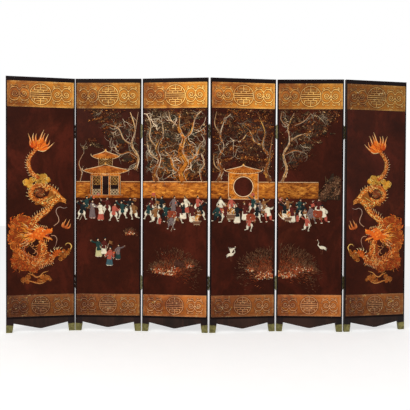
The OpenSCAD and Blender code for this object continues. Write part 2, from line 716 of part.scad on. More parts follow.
module picture(n) {
    if (n == 1) dragon();
    if (n == 2) {
        translate([95, GARDEN_Z]) pavilion();
        boughs([[11, [[450, 1082], [436, 1170], [456, 1262], [410, 1352], [434, 1460], [398, 1588]]],
            [6, [[456, 1262], [392, 1300], [330, 1286], [268, 1322]]],
            [5, [[410, 1352], [352, 1392], [312, 1470], [244, 1496]]]]);
        people([[44, 812, 120, 1], [124, 820, 124, 1], [186, 806, 124, -1], [280, 800, 122, 1], [344, 818, 120, -1],
            [430, 824, 116, -1], [170, 540, 148, 1], [250, 476, 150, -1], [312, 520, 104, -1]]);
        translate([400, 700]) plant(46, 90);
        translate([92, 430]) plant(54, 84);
    }
    if (n == 3) {
        boughs([[20, [[104, 1082], [90, 1160], [126, 1240], [104, 1330], [150, 1424], [138, 1530]]],
            [28, [[296, 1082], [276, 1150], [316, 1222], [276, 1300], [300, 1392], [262, 1480], [276, 1590]]],
            [13, [[316, 1222], [384, 1262], [424, 1350], [456, 1380]]],
            [11, [[276, 1150], [226, 1190], [206, 1262], [166, 1300]]],
            [9, [[300, 1392], [356, 1446], [380, 1540], [430, 1590]]],
            [8, [[430, 1082], [424, 1150], [452, 1214], [430, 1290]]]]);
        people([[34, 812, 120, 1], [96, 796, 124, 1], [176, 808, 120, -1], [262, 790, 126, 1], [300, 818, 118, -1],
            [366, 796, 122, 1], [440, 812, 118, -1], [210, 742, 100, 1]]);
        translate([272, 470]) rock(84, 60);
        translate([150, 424]) plant(92, 104);
        translate([236, 440]) plant(70, 60);
        translate([336, 470]) plant(56, 74);
    }
    if (n == 4) {
        translate([240, GARDEN_Z]) gate_ring();
        boughs([[15, [[52, 1082], [82, 1160], [56, 1244], [92, 1334], [70, 1430], [106, 1540]]],
            [16, [[424, 1082], [404, 1172], [428, 1262], [380, 1352], [398, 1450], [350, 1566]]],
            [7, [[92, 1334], [158, 1384], [216, 1376], [262, 1430]]],
            [7, [[380, 1352], [318, 1380], [286, 1450], [230, 1500]]]]);
        people([[40, 806, 122, 1], [110, 798, 124, -1], [196, 790, 126, -1], [252, 812, 120, 1], [340, 796, 124, 1],
            [360, 836, 112, -1], [430, 808, 120, -1], [284, 742, 100, 1]]);
        translate([150, 560]) crane();
        translate([380, 380]) plant(96, 98);
        translate([436, 430]) plant(60, 112);
        translate([296, 440]) plant(52, 88);
    }
    if (n == 5) {
        boughs([[11, [[36, 1082], [70, 1180], [46, 1284], [92, 1382], [78, 1484], [122, 1588]]],
            [6, [[46, 1284], [128, 1318], [196, 1300]]],
            [6, [[92, 1382], [160, 1426], [252, 1436]]]]);
        translate([392, GARDEN_Z - 6]) rock(130, 190);
        translate([326, GARDEN_Z - 18]) rock(70, 84);
        people([[38, 816, 120, 1], [112, 796, 124, -1], [186, 812, 120, 1], [252, 786, 124, -1], [340, 800, 122, -1],
            [216, 744, 100, 1]]);
        translate([330, 610]) mirror([1, 0]) crane();
        translate([66, 396]) plant(88, 80);
        translate([150, 436]) plant(82, 74);
        translate([236, 450]) plant(54, 56);
    }
}

module relief(n) {
    drawn = n == LEAVES ? 1 : n;
    color(gilt) translate([n == LEAVES ? leaf_w : 0, 0, 0]) mirror([n == LEAVES ? 1 : 0, 0, 0]) {
        applied(wall_relief_t) picture_ground(drawn);
        applied() picture(drawn);
    }
}

// ---- The pieces --------------------------------------------------------------------------

for (n = [1:LEAVES]) {
    on_leaf(n) stiles(n);
    on_leaf(n) rails();
    on_leaf(n) core_planks();
    on_leaf(n) face_board(n, -1);
    on_leaf(n) face_board(n, 1);
    on_leaf(n) gilt_bands();
    on_leaf(n) relief(n);
    on_leaf(n) foot_caps();
    on_leaf(n) hinge_plates(n);
}
for (j = [1:LEAVES - 1]) {
    on_leaf(j) hinge_pins(j);
}
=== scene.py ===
"""Finishes a six-leaf folding lacquer screen: polished boards, gilt bands, brasswork and applied relief."""

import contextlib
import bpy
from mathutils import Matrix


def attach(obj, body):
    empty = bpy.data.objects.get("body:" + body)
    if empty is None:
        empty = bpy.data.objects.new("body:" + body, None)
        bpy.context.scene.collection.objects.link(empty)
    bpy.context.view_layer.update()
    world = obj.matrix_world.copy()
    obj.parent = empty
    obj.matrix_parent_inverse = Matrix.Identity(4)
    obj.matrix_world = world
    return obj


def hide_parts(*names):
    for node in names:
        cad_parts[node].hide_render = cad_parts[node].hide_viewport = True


bl_info = {
    "name": "Lacquer Folding Screen",
    "version": (1, 0, 0),
    "blender": (4, 5, 0),
    "location": "View3D > Sidebar > Lacquer Screen",
    "description": "Finishes a six-leaf lacquer screen: gilt bands, dragons and a garden picture in relief",
    "category": "Add Mesh",
}

from math import acos, atan, atan2, ceil, cos, degrees, hypot, pi, radians, sin, sqrt

import bpy
import numpy as np
from bpy.props import FloatProperty, FloatVectorProperty, IntProperty, PointerProperty
from mathutils import Vector

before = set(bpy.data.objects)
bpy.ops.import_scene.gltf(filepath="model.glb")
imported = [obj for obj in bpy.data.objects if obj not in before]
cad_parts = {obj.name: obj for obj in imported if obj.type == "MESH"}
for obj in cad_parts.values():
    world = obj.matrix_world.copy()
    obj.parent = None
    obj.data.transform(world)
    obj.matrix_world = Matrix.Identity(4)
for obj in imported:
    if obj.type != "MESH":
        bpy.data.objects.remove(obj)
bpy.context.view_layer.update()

MM = 0.001
LEAVES = 6
WHITE = (1, 1, 1)


def rgb(code):
    """A colour from its code, two figures each of red, green and blue as on a display, as linear light."""
    parts = (int(code[k:k + 2], 16) / 255 for k in (0, 2, 4))
    return tuple(p / 12.92 if p <= 0.04045 else ((p + 0.055) / 1.055) ** 2.4 for p in parts)


def palette(codes):
    """The colours of several codes."""
    return [rgb(code) for code in codes.split()]


def toned(colour, share):
    """A colour made darker or lighter."""
    return tuple(value * share for value in colour)


# ---- A leaf's own axes ---------------------------------------------------------------------


class Leaf:
    """A leaf's own axes in mm: x along it from its left edge, z up, and out from its pictured face."""

    def __init__(self, number):
        self.number = number
        self.body = f"leaf_{number}"
        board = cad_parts[f"{self.body}_front_board"].data
        points = np.array([vertex.co for vertex in board.vertices])
        plan = points[:, :2]
        rough = np.linalg.svd(plan - plan.mean(0), full_matrices=False)[2][0]
        angles = atan(rough[1] / rough[0]) + np.radians(np.arange(-3, 3, 0.001))
        depths = plan @ np.array([np.sin(angles), -np.cos(angles)])
        self.heading = angles[np.argmin(np.ptp(depths, axis=0))]
        self.along = np.array([cos(self.heading), sin(self.heading)])
        self.outward = np.array([self.along[1], -self.along[0]])
        self.start = (plan @ self.along).min()
        self.corner = self.along * self.start + self.outward * (plan @ self.outward).max()
        self.width = np.ptp(plan @ self.along) / MM
        self.height = points[:, 2].max() / MM
        self.board_foot = points[:, 2].min() / MM
        back = np.array([vertex.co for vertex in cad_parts[f"{self.body}_back_board"].data.vertices])
        self.depth = np.ptp(np.append(plan, back[:, :2], 0) @ self.outward) / MM

    def place(self, points):
        """Points (x, z, out) in mm as metres in the screen's own frame."""
        points = np.asarray(points, float) * MM
        plan = self.corner + points[:, :1] * self.along + points[:, 2:] * self.outward
        return np.column_stack([plan, points[:, 1]])


leaves = {number: Leaf(number) for number in range(1, LEAVES + 1)}


# ---- Raised shapes -------------------------------------------------------------------------


def unit(vectors):
    """Each row of vectors made one long."""
    return vectors / np.maximum(np.linalg.norm(vectors, axis=1, keepdims=True), 1e-9)


def leftward(vectors):
    """Each row of vectors turned a quarter round to its left."""
    return np.column_stack([-vectors[:, 1], vectors[:, 0]])


def turned_by(angle):
    """The matrix of a turn by an angle in degrees."""
    c, s = cos(radians(angle)), sin(radians(angle))
    return np.array([[c, -s], [s, c]])


def smooth_line(points, count, closed=False):
    """Count + 1 points, and their unit tangents, on a smooth line through the given points."""
    p = np.asarray(points, float)
    if closed:
        around = np.vstack([p[-1], p, p[0], p[1]])
    else:
        around = np.vstack([2 * p[0] - p[1], p, 2 * p[-1] - p[-2]])
    spans = len(around) - 3
    t = np.linspace(0, spans, count + 1)
    i = np.minimum(t.astype(int), spans - 1)
    u = (t - i)[:, None]
    a, b, c, d = (around[i + k] for k in range(4))
    place = 0.5 * (2 * b + (c - a) * u + (2 * a - 5 * b + 4 * c - d) * u**2 + (3 * b - a - 3 * c + d) * u**3)
    slope = 0.5 * ((c - a) + 2 * (2 * a - 5 * b + 4 * c - d) * u + 3 * (3 * b - a - 3 * c + d) * u**2)
    return place, unit(slope)


def box(x0, x1, z0, z1):
    """The corners of an upright rectangle."""
    return [(x0, z0), (x1, z0), (x1, z1), (x0, z1)]


def spread(values, count):
    """Values evenly spaced along a line, read off at count places."""
    values = np.atleast_1d(np.asarray(values, float))
    where = np.linspace(0, len(values) - 1, count)
    return np.interp(where, np.arange(len(values)), values)


def heat_at(heights, heat):
    """The tint at some heights, from rows of a height and its red, green and blue."""
    rows = np.asarray(heat, float)
    return np.column_stack([np.interp(heights, rows[:, 0], rows[:, k]) for k in (1, 2, 3)])


class Relief:
    """The points, faces and paint of raised shapes on one leaf."""

    def __init__(self, leaf, gilding=0.0, heat=None):
        self.leaf, self.gilding, self.heat = leaf, gilding, heat
        self.points, self.faces, self.paint = [], [], []
        self.count = 0
        self.back = False

    def add(self, points, faces, paint):
        if self.back:
            points = np.array(points) * (1, 1, -1) - (0, 0, self.leaf.depth)
            faces = [face[::-1] for face in faces]
        if self.heat is not None:
            paint = paint * heat_at(np.asarray(points)[:, 1], self.heat)
        self.points.append(points)
        self.faces.extend([[index + self.count for index in face] for face in faces])
        self.paint.append(paint)
        self.count += len(points)

    def piece(self, name, finish, slot="relief"):
        """The shapes as one mesh object that rides on the leaf."""
        mesh = bpy.data.meshes.new(name)
        mesh.from_pydata(self.leaf.place(np.vstack(self.points)), [], self.faces)
        paint = np.vstack(self.paint)
        store(mesh, "paint", "FLOAT_COLOR", np.column_stack([paint, np.ones(len(paint))]))
        pale = 0.12
        store(mesh, "gilt", "FLOAT", self.gilding * (paint[:, 2] < pale))
        return finished(mesh, self.leaf, name, finish)


def store(mesh, name, kind, values):
    """Writes one value to each point of a mesh under a name that its finish reads."""
    field = {"FLOAT": "value", "FLOAT_COLOR": "color", "FLOAT_VECTOR": "vector"}[kind]
    mesh.attributes.new(name, kind, "POINT").data.foreach_set(field, np.ravel(values).astype(np.float32))


def finished(mesh, leaf, name, finish):
    """A mesh in place as a named piece of one leaf, with its finish."""
    mesh.name = f"{leaf.body}_{name}"
    mesh.polygons.foreach_set("use_smooth", [True] * len(mesh.polygons))
    mesh.materials.clear()
    mesh.materials.append(finish)
    piece = bpy.data.objects.new(mesh.name, mesh)
    bpy.context.scene.collection.objects.link(piece)
    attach(piece, leaf.body)
    return piece


class Pen:
    """Draws closed raised shapes on a relief, from an origin of its own with a scale, a turn and a side."""

    def __init__(self, relief, origin=(0, 0), matrix=((1, 0), (0, 1)), lift=0.0, seed=1):
        self.relief = relief
        self.origin = np.asarray(origin, float)
        self.matrix = np.asarray(matrix, float)
        self.size = sqrt(abs(np.linalg.det(self.matrix)))
        self.lift = lift
        self.chance = np.random.default_rng(seed)

    def moved(self, x=0, z=0, scale=1, side=1, turn=0, lift=None):
        """A pen whose origin is at x, z of this one; side -1 draws mirrored, and the turn is in degrees."""
        own = turned_by(turn) @ np.array([[side, 0], [0, 1]]) * scale
        pen = Pen(self.relief, self.at([(x, z)])[0], self.matrix @ own, self.lift if lift is None else lift)
        pen.chance = self.chance
        return pen

    def at(self, points):
        return np.asarray(points, float) @ self.matrix.T + self.origin

    def stroke(self, points, widths, paint, rise=None, edge=0.42, section=5, step=None, across=None):
        """A band with a round back along a smooth line: half-widths and paints run from its start to its end.
        Across gives paints from its left side to its right one instead."""
        line = self.at(points)
        widths = np.atleast_1d(np.asarray(widths, float)) * self.size
        length = np.linalg.norm(np.diff(line, axis=0), axis=1).sum()
        step = step or max(1.6, min(widths.max() * 1.2, 9))
        count = int(max(2 * (len(line) - 1) if len(line) > 2 else 1, ceil(length / step)))
        place, tangent = smooth_line(line, count)
        half = np.maximum(spread(widths, count + 1), 0.15)
        top = (rise if rise else min(widths.max() * 0.9, 2.0)) * (half / half.max()) ** 0.6
        angles = np.linspace(0, pi, section)
        rings = place[:, None] + leftward(tangent)[:, None] * (np.cos(angles)[:, None] * half[:, None, None])
        out = self.lift + np.sin(angles) * top[:, None]
        points3 = np.dstack([rings, out]).reshape(-1, 3)
        # Each section is darkest at its foot and a little lighter on its crest: a painted outline with
        # painted shade at the foot, and a painted highlight on the crest
        shade = edge + (1.06 - edge) * np.sin(angles) ** 0.7
        if across is not None:
            bands = np.asarray(across, float)
            where = np.linspace(0, len(bands) - 1, section)
            colour = np.column_stack([np.interp(where, np.arange(len(bands)), bands[:, k]) for k in range(3)])
            colours = np.repeat(colour[None], count + 1, 0)
        else:
            paints = np.atleast_2d(np.asarray(paint, float))
            colour = np.column_stack([spread(paints[:, k], count + 1) for k in range(3)])
            colours = np.repeat(colour[:, None], section, 1)
        colours = (colours * shade[None, :, None]).reshape(-1, 3)
        faces = []
        for i in range(count):
            a, b = i * section, (i + 1) * section
            for k in range(section):
                n = (k + 1) % section
                faces.append((a + k, a + n, b + n, b + k))
        faces.append(tuple(range(section - 1, -1, -1)))
        faces.append(tuple(range(count * section, (count + 1) * section)))
        self.relief.add(points3, faces, colours)

    def line(self, points, widths, paint, rise=2.0, step=None):
        """A thin raised line."""
        self.stroke(points, widths, paint, rise, edge=0.7, section=4, step=step)

    def rings(self, outlines, heights, shades, paint, cap=True):
        """Closed outlines one inside the other, from the lacquer up."""
        count = len(outlines[0])
        points, colours, faces = [], [], []
        for outline, height, shade in zip(outlines, heights, shades):
            points.append(np.column_stack([outline, np.full(count, self.lift + height)]))
            colours.append(np.repeat(np.asarray([paint]) * shade, count, 0))
        for ring in range(len(outlines) - 1):
            a, b = ring * count, (ring + 1) * count
            faces += [(a + k, a + (k + 1) % count, b + (k + 1) % count, b + k) for k in range(count)]
        last = (len(outlines) - 1) * count
        faces.append(tuple(range(count - 1, -1, -1)))
        if cap:
            faces.append(tuple(range(last, last + count)))
        else:
            middle = outlines[-1].mean(0)
            points.append([[middle[0], middle[1], self.lift + heights[-1] * 1.02]])
            colours.append([np.asarray(paint) * shades[-1]])
            faces += [(last + k, last + (k + 1) % count, last + count) for k in range(count)]
        self.relief.add(np.vstack(points), faces, np.vstack(colours))

    def dome(self, x, z, radius, paint, rise=None, tall=1.0, turn=0, lobes=0, depth=0.0, edge=0.42, sides=14):
        """A round or lobed swelling, tall times as high as it is wide."""
        sides = max(sides, lobes * 4)
        angles = np.linspace(0, 2 * pi, sides, endpoint=False)
        reach = 1 + depth * np.cos(lobes * angles) if lobes else np.ones(sides)
        shape = np.column_stack([np.cos(angles), np.sin(angles) * tall]) * reach[:, None] * radius
        outline = self.at(shape @ turned_by(turn).T + (x, z))
        if np.linalg.det(self.matrix) < 0:
            outline = outline[::-1]
        middle = outline.mean(0)
        rise = rise or min(radius * self.size * 0.8, 2.1)
        outlines = [middle + (outline - middle) * share for share in (1, 0.86, 0.5)]
        # Darker at the foot and lighter on top: painted shade round the foot and a painted highlight on top
        self.rings(outlines, (0, 0.62 * rise, 0.96 * rise), (edge, 0.86, 1.05), paint, cap=False)

    def swell(self, outline, paint, rise, bevel):
        """A flat raised shape with a smooth outline."""
        self.blob(outline, paint, rise, bevel, smooth=True)

    def blob(self, outline, paint, rise=1.2, bevel=1.6, smooth=False, edge=0.42):
        """A flat raised shape with a rounded shoulder, inside any outline that doesn't cross itself."""
        shape = self.at(outline)
        if smooth:
            shape = smooth_line(shape, len(shape) * 4, closed=True)[0][:-1]
        after, before = np.roll(shape, -1, 0), np.roll(shape, 1, 0)
        if (shape[:, 0] * after[:, 1] - shape[:, 1] * after[:, 0]).sum() < 0:
            shape = shape[::-1]
            after, before = np.roll(shape, -1, 0), np.roll(shape, 1, 0)
        normal = unit(leftward(unit(shape - before) + unit(after - shape)))
        bevel *= self.size
        outlines = [shape, shape + normal * bevel * 0.35, shape + normal * bevel]
        # Darker at the outline: a painted outline with painted shade round the foot
        self.rings(outlines, (0, rise * 0.75, rise), (edge, 0.8, 1.0), paint)


# ---- Repeated pieces -----------------------------------------------------------------------


class Scatter:
    """Places for copies of one small piece on a leaf."""

    def __init__(self, leaf):
        self.leaf = leaf
        self.places, self.turns, self.sizes, self.paint = [], [], [], []

    def put(self, x, z, out, turn, size, paint, facing=0):
        """One copy at x, z and out in mm, turned in degrees on the leaf's face; facing 180 is the back."""
        self.places.append((x, z, out))
        self.turns.append((0, -radians(turn), self.leaf.heading + radians(facing)))
        self.sizes.append(np.broadcast_to(size, 3))
        self.paint.append(tuple(paint) + (1,))

    def points(self):
        mesh = bpy.data.meshes.new("places")
        mesh.from_pydata(self.leaf.place(self.places), [], [])
        store(mesh, "turn", "FLOAT_VECTOR", self.turns)
        store(mesh, "size", "FLOAT_VECTOR", self.sizes)
        store(mesh, "paint", "FLOAT_COLOR", self.paint)
        return mesh


def copies_tree():
    """The node tree that sets a piece on every point, turned and sized by the point's own values."""
    if "set_pieces" in bpy.data.node_groups:
        return bpy.data.node_groups["set_pieces"]
    tree = Tree(bpy.data.node_groups.new("set_pieces", "GeometryNodeTree"))
    sockets = {"Places": "Geometry", "Piece": "Object", "Finish": "Material", "Size": "Float"}
    for name, kind in sockets.items():
        tree.tree.interface.new_socket(name, in_out="INPUT", socket_type=f"NodeSocket{kind}")
    tree.tree.interface.new_socket("Pieces", in_out="OUTPUT", socket_type="NodeSocketGeometry")
    given = tree.node("NodeGroupInput").outputs
    piece = tree.node("GeometryNodeObjectInfo", {}, {"Object": given["Piece"]})
    turn, size = (
        tree.node("GeometryNodeInputNamedAttribute", {"data_type": "FLOAT_VECTOR"}, {"Name": name}).outputs[0]
        for name in ("turn", "size"))
    rotation = tree.node("FunctionNodeEulerToRotation", {}, {0: turn}).outputs[0]
    scale = tree.node("ShaderNodeVectorMath", {"operation": "SCALE"},
        {0: size, "Scale": given["Size"]}).outputs[0]
    copies = tree.node("GeometryNodeInstanceOnPoints", {}, {"Points": given["Places"],
        "Instance": piece.outputs["Geometry"], "Rotation": rotation, "Scale": scale})
    real = tree.node("GeometryNodeRealizeInstances", {}, {0: copies.outputs[0]})
    finish = tree.node("GeometryNodeSetMaterial", {}, {"Geometry": real.outputs[0],
        "Material": given["Finish"]})
    tree.node("NodeGroupOutput", {}, {"Pieces": finish.outputs[0]})
    return tree.tree


def set_copies(scatter, shape, name, finish, size=1.0):
    """Copies of a small shape at the places of a scatter, as one piece of the leaf."""
    places = bpy.data.objects.new("places", scatter.points())
    template = bpy.data.objects.new("template", shape)
    for made in (places, template):
        bpy.context.scene.collection.objects.link(made)
    tree = copies_tree()
    modifier = places.modifiers.new("set_pieces", "NODES")
    modifier.node_group = tree
    values = {"Piece": template, "Finish": finish, "Size": size}
    for socket in tree.interface.items_tree:
        if socket.in_out == "INPUT" and socket.name in values:
            modifier[socket.identifier] = values[socket.name]
    graph = bpy.context.evaluated_depsgraph_get()
    mesh = bpy.data.meshes.new_from_object(places.evaluated_get(graph), depsgraph=graph)
    for made in (places, template):
        bpy.data.objects.remove(made)
    for spare in ("turn", "size"):
        if spare in mesh.attributes:
            mesh.attributes.remove(mesh.attributes[spare])
    return finished(mesh, scatter.leaf, name, finish)


def small_shape(draw):
    """A mesh for copies, drawn with a pen in mm about its own origin, facing the front."""
    relief = Relief(None)
    draw(Pen(relief))
    points = np.vstack(relief.points) * MM
    mesh = bpy.data.meshes.new("shape")
    mesh.from_pydata(np.column_stack([points[:, 0], -points[:, 2], points[:, 1]]), [], relief.faces)
    return mesh


# ---- Finishes ------------------------------------------------------------------------------


def arithmetic(operation, swapped=False):
    """A method of sockets that adds one Math node."""

    def method(*values):
        return values[0].tree.maths(operation, *(values[::-1] if swapped else values))

    return method


class Socket:
    """A number in a shader, with arithmetic that adds the nodes it needs."""

    def __init__(self, tree, socket):
        self.tree, self.socket = tree, socket

    __add__, __radd__ = arithmetic("ADD"), arithmetic("ADD", swapped=True)
    __sub__, __rsub__ = arithmetic("SUBTRACT"), arithmetic("SUBTRACT", swapped=True)
    __mul__, __rmul__ = arithmetic("MULTIPLY"), arithmetic("MULTIPLY", swapped=True)
    __truediv__ = arithmetic("DIVIDE")
    least, most = arithmetic("MINIMUM"), arithmetic("MAXIMUM")
    size, wave = arithmetic("ABSOLUTE"), arithmetic("SINE")

    def step(self, low, high):
        """0 below low, 1 above high, and smooth between them; high may be the lower one."""
        inputs = {"Value": self, "From Min": low, "From Max": high}
        return Socket(self.tree, self.tree.node("ShaderNodeMapRange", {"interpolation_type": "SMOOTHSTEP"},
            inputs).outputs[0])


class Tree:
    """A node tree, emptied first."""

    def __init__(self, tree):
        self.tree = tree
        tree.nodes.clear()

    def node(self, kind, settings=None, inputs=None):
        """A node with its settings made first, then its sockets given values or links."""
        made = self.tree.nodes.new(kind)
        for name, value in (settings or {}).items():
            if name == "stops":
                self.set_stops(made.color_ramp, value)
            else:
                setattr(made, name, value)
        for key, value in (inputs or {}).items():
            value = value.socket if isinstance(value, Socket) else value
            if isinstance(value, bpy.types.NodeSocket):
                self.tree.links.new(value, made.inputs[key])
            else:
                wanted = made.inputs[key].default_value
                full = hasattr(wanted, "__len__") and len(wanted) == 4 and len(value) == 3
                made.inputs[key].default_value = (*value, 1) if full else value
        return made

    @staticmethod
    def set_stops(ramp, stops):
        while len(ramp.elements) < len(stops):
            ramp.elements.new(1)
        for element, (where, colour) in zip(ramp.elements, stops):
            element.position = where
            element.color = (*colour, 1)

    def maths(self, operation, *values):
        return Socket(self, self.node("ShaderNodeMath", {"operation": operation},
            dict(enumerate(values))).outputs[0])

    def seen(self):
        """1 for what the camera or a reflection sees, and 0 for what only lights other things."""
        paths = self.node("ShaderNodeLightPath").outputs
        return self.maths("MAXIMUM", paths["Is Camera Ray"], paths["Is Glossy Ray"])


class Finish(Tree):
    """A procedural material."""

    def __init__(self, name):
        self.material = bpy.data.materials.new(name)
        self.material.use_nodes = True
        super().__init__(self.material.node_tree)
        self.place = self.node("ShaderNodeTexCoord").outputs["Object"]

    def along(self, direction, start=0.0):
        """How far a point lies along a direction, in metres."""
        node = self.node("ShaderNodeVectorMath", {"operation": "DOT_PRODUCT"}, {0: self.place, 1: direction})
        return Socket(self, node.outputs["Value"]) - start

    def stretched(self, x=1, y=1, z=1, shift=0.0):
        inputs = {"Vector": self.place, "Scale": (x, y, z), "Location": (shift, 0, 1.7 * shift)}
        return self.node("ShaderNodeMapping", {}, inputs).outputs[0]

    def noise(self, scale, detail=4, rough=0.55, vector=None, twist=0.0):
        inputs = {"Scale": scale, "Detail": detail, "Roughness": rough, "Distortion": twist}
        inputs["Vector"] = vector or self.place
        return Socket(self, self.node("ShaderNodeTexNoise", {}, inputs).outputs["Fac"])

    def cracks(self, scale, vector, width):
        """1 in fine cracks, and 0 past a width from them."""
        node = self.node("ShaderNodeTexVoronoi", {"feature": "DISTANCE_TO_EDGE"},
            {"Vector": vector, "Scale": scale})
        return Socket(self, node.outputs["Distance"]).step(width, 0.0)

    def ramp(self, value, *stops):
        return self.node("ShaderNodeValToRGB", {"stops": stops}, {"Fac": value}).outputs["Color"]

    def mix(self, factor, first, second, blend="MIX"):
        """The first colour where the factor is 0, and the second where it is 1."""
        settings = {"data_type": "RGBA", "blend_type": blend, "clamp_factor": True}
        return self.node("ShaderNodeMix", settings, {"Factor": factor, 6: first, 7: second}).outputs[2]

    def product(self, first, second):
        return self.mix(1.0, first, second, "MULTIPLY")

    def attribute(self, name):
        return self.node("ShaderNodeAttribute", {"attribute_name": name}).outputs

    def bump(self, height, strength, distance):
        inputs = {"Height": height, "Strength": strength, "Distance": distance}
        return self.node("ShaderNodeBump", {}, inputs).outputs["Normal"]

    def done(self, **inputs):
        """Ends the tree in a surface with the given inputs and returns the material."""
        inputs = {name.replace("_", " "): value for name, value in inputs.items()}
        shader = self.node("ShaderNodeBsdfPrincipled", {}, inputs)
        self.node("ShaderNodeOutputMaterial", {}, {"Surface": shader.outputs[0]})
        return self.material


# Where the black foot of the boards ends, in metres
BOARD_FOOT = 0.1123


def board_lacquer(leaf, settings):
    """Polished reddish-brown lacquer with cloudy depth, inside a black border."""
    finish = Finish(f"board_lacquer_{leaf.number}")
    along = finish.along((*leaf.along, 0), leaf.start)
    up = finish.along((0, 0, 1))
    moved = finish.stretched(shift=leaf.number * 3.1)
    clouds = finish.noise(2.6, 5, 0.6, moved, 0.4)
    patches = finish.noise(7.5, 4, 0.62, moved, 0.8)
    rubbing = finish.noise(1, 4, 0.6, finish.stretched(60, 60, 24, shift=leaf.number))
    specks = finish.noise(260, 2, 0.6)
    cracked = finish.stretched(1, 1, 0.7, shift=leaf.number)
    base = tuple(settings.lacquer)
    depth = clouds * 0.62 + patches * 0.38
    # The lightest clouds take the sheen colour: real cloudiness of the lacquer, lightened at its top with a
    # painted sheen
    colour = finish.ramp(depth, (0.3, toned(base, 0.42)), (0.47, toned(base, 0.8)), (0.58, base),
        (0.72, tuple(settings.sheen)))
    ruddy = finish.noise(3.4, 4, 0.66, finish.stretched(1, 1, 0.6, shift=leaf.number * 5.7), 0.6)
    colour = finish.mix(ruddy.step(0.46, 0.66) * 0.6, colour, rgb("5c2214"))
    worn = (rubbing.step(0.52, 0.74) * patches.step(0.42, 0.6)) * 0.2
    colour = finish.mix(worn, colour, toned(settings.sheen, 1.5))
    colour = finish.mix(finish.noise(52, 4, 0.6, moved).step(0.5, 0.7) * 0.4, colour, toned(base, 0.5))
    colour = finish.mix(specks.step(0.66, 0.8) * 0.3, colour, rgb("763c28"))
    colour = finish.mix(finish.cracks(34, cracked, 0.012) * 0.35, colour, rgb("120506"))
    border = settings.border * MM
    strip_foot = (leaf.height - settings.top_strip) * MM
    side = along.least(leaf.width * MM - along)
    wander = (finish.noise(40, 3) - 0.5) * 0.0012
    edge = (side + wander).step(border + 0.0006, border - 0.0006)
    top = (up + wander).step(strip_foot, strip_foot + 0.0014)
    black = edge.most(top).most(up.step(BOARD_FOOT + 0.001, BOARD_FOOT))
    red_line = (up - (strip_foot - 0.0018)).size().step(0.0026, 0.0016)
    colour = finish.mix(red_line, colour, rgb("701a12"))
    colour = finish.mix(black, colour, finish.mix(clouds, rgb("0e090a"), rgb("1e100f")))
    chips = (side + (finish.noise(90, 4) - 0.5) * 0.006).step(0.0016, 0.0002)
    colour = finish.mix(chips * 0.5, colour, rgb("542e1e"))
    roughness = 0.3 + patches * 0.14 + specks.step(0.55, 0.8) * 0.12 + worn * 0.2
    normal = finish.bump(patches * 0.5 + specks * 0.08 + finish.cracks(34, cracked, 0.01) * -0.3, 0.16, 0.001)
    return finish.done(Base_Color=colour, Roughness=roughness, Normal=normal, Specular_IOR_Level=0.05)


def plain_lacquer(name, dark, light, wood_above=None):
    """Dark lacquer for backs, edges, legs and apron; above a height the bare wood shows instead."""
    finish = Finish(name)
    clouds = finish.noise(5, 5, 0.6, twist=0.5)
    brushed = finish.noise(1, 4, 0.55, finish.stretched(60, 60, 3))
    specks = finish.noise(300, 2, 0.6)
    colour = finish.mix(clouds.step(0.35, 0.68), dark, light)
    colour = finish.mix(brushed.step(0.55, 0.75) * 0.4, colour, toned(light, 1.8))
    colour = finish.mix(specks.step(0.66, 0.82) * 0.35, colour, rgb("603e2e"))
    roughness = 0.33 + brushed * 0.14 + specks.step(0.6, 0.8) * 0.1
    if wood_above is not None:
        grain = finish.noise(1, 5, 0.6, finish.stretched(14, 90, 240), 0.6)
        rings = (finish.along((0, 0, 1)) * 90 + grain * 5).wave() * 0.5 + 0.5
        wood = finish.mix(rings * 0.6 + grain * 0.4, rgb("7e5834"), rgb("b08656"))
        bare = finish.along((0, 0, 1)).step(wood_above - 0.0002, wood_above + 0.0002)
        colour = finish.mix(bare, colour, wood)
        roughness = roughness + bare * 0.25
    normal = finish.bump(brushed * 0.5 + specks * 0.1, 0.14, 0.001)
    return finish.done(Base_Color=colour, Roughness=roughness, Normal=normal, Specular_IOR_Level=0.14)


def core_wood():
    """Straight-grained softwood of the planks inside."""
    finish = Finish("core_wood")
    grain = finish.noise(1, 5, 0.6, finish.stretched(150, 90, 5), 0.7)
    pores = finish.noise(1, 3, 0.6, finish.stretched(700, 400, 22))
    rings = (finish.along((1, 0.2, 0.03)) * 420 + grain * 7).wave() * 0.5 + 0.5
    colour = finish.mix(rings * 0.55 + grain * 0.45, rgb("825c38"), rgb("b68c5c"))
    colour = finish.mix(pores.step(0.6, 0.72) * 0.5, colour, rgb("5c3c22"))
    normal = finish.bump(rings * 0.5 + pores * 0.5, 0.25, 0.0006)
    return finish.done(Base_Color=colour, Roughness=0.55 + grain * 0.2, Normal=normal)


# How light the upper and the lower gilt band of each leaf are, as factors on their colour
GILT_TONES = ((0.95, 0.6), (0.82, 0.86), (1.2, 1.5), (1.22, 0.9), (0.88, 1.48), (0.53, 0.68))


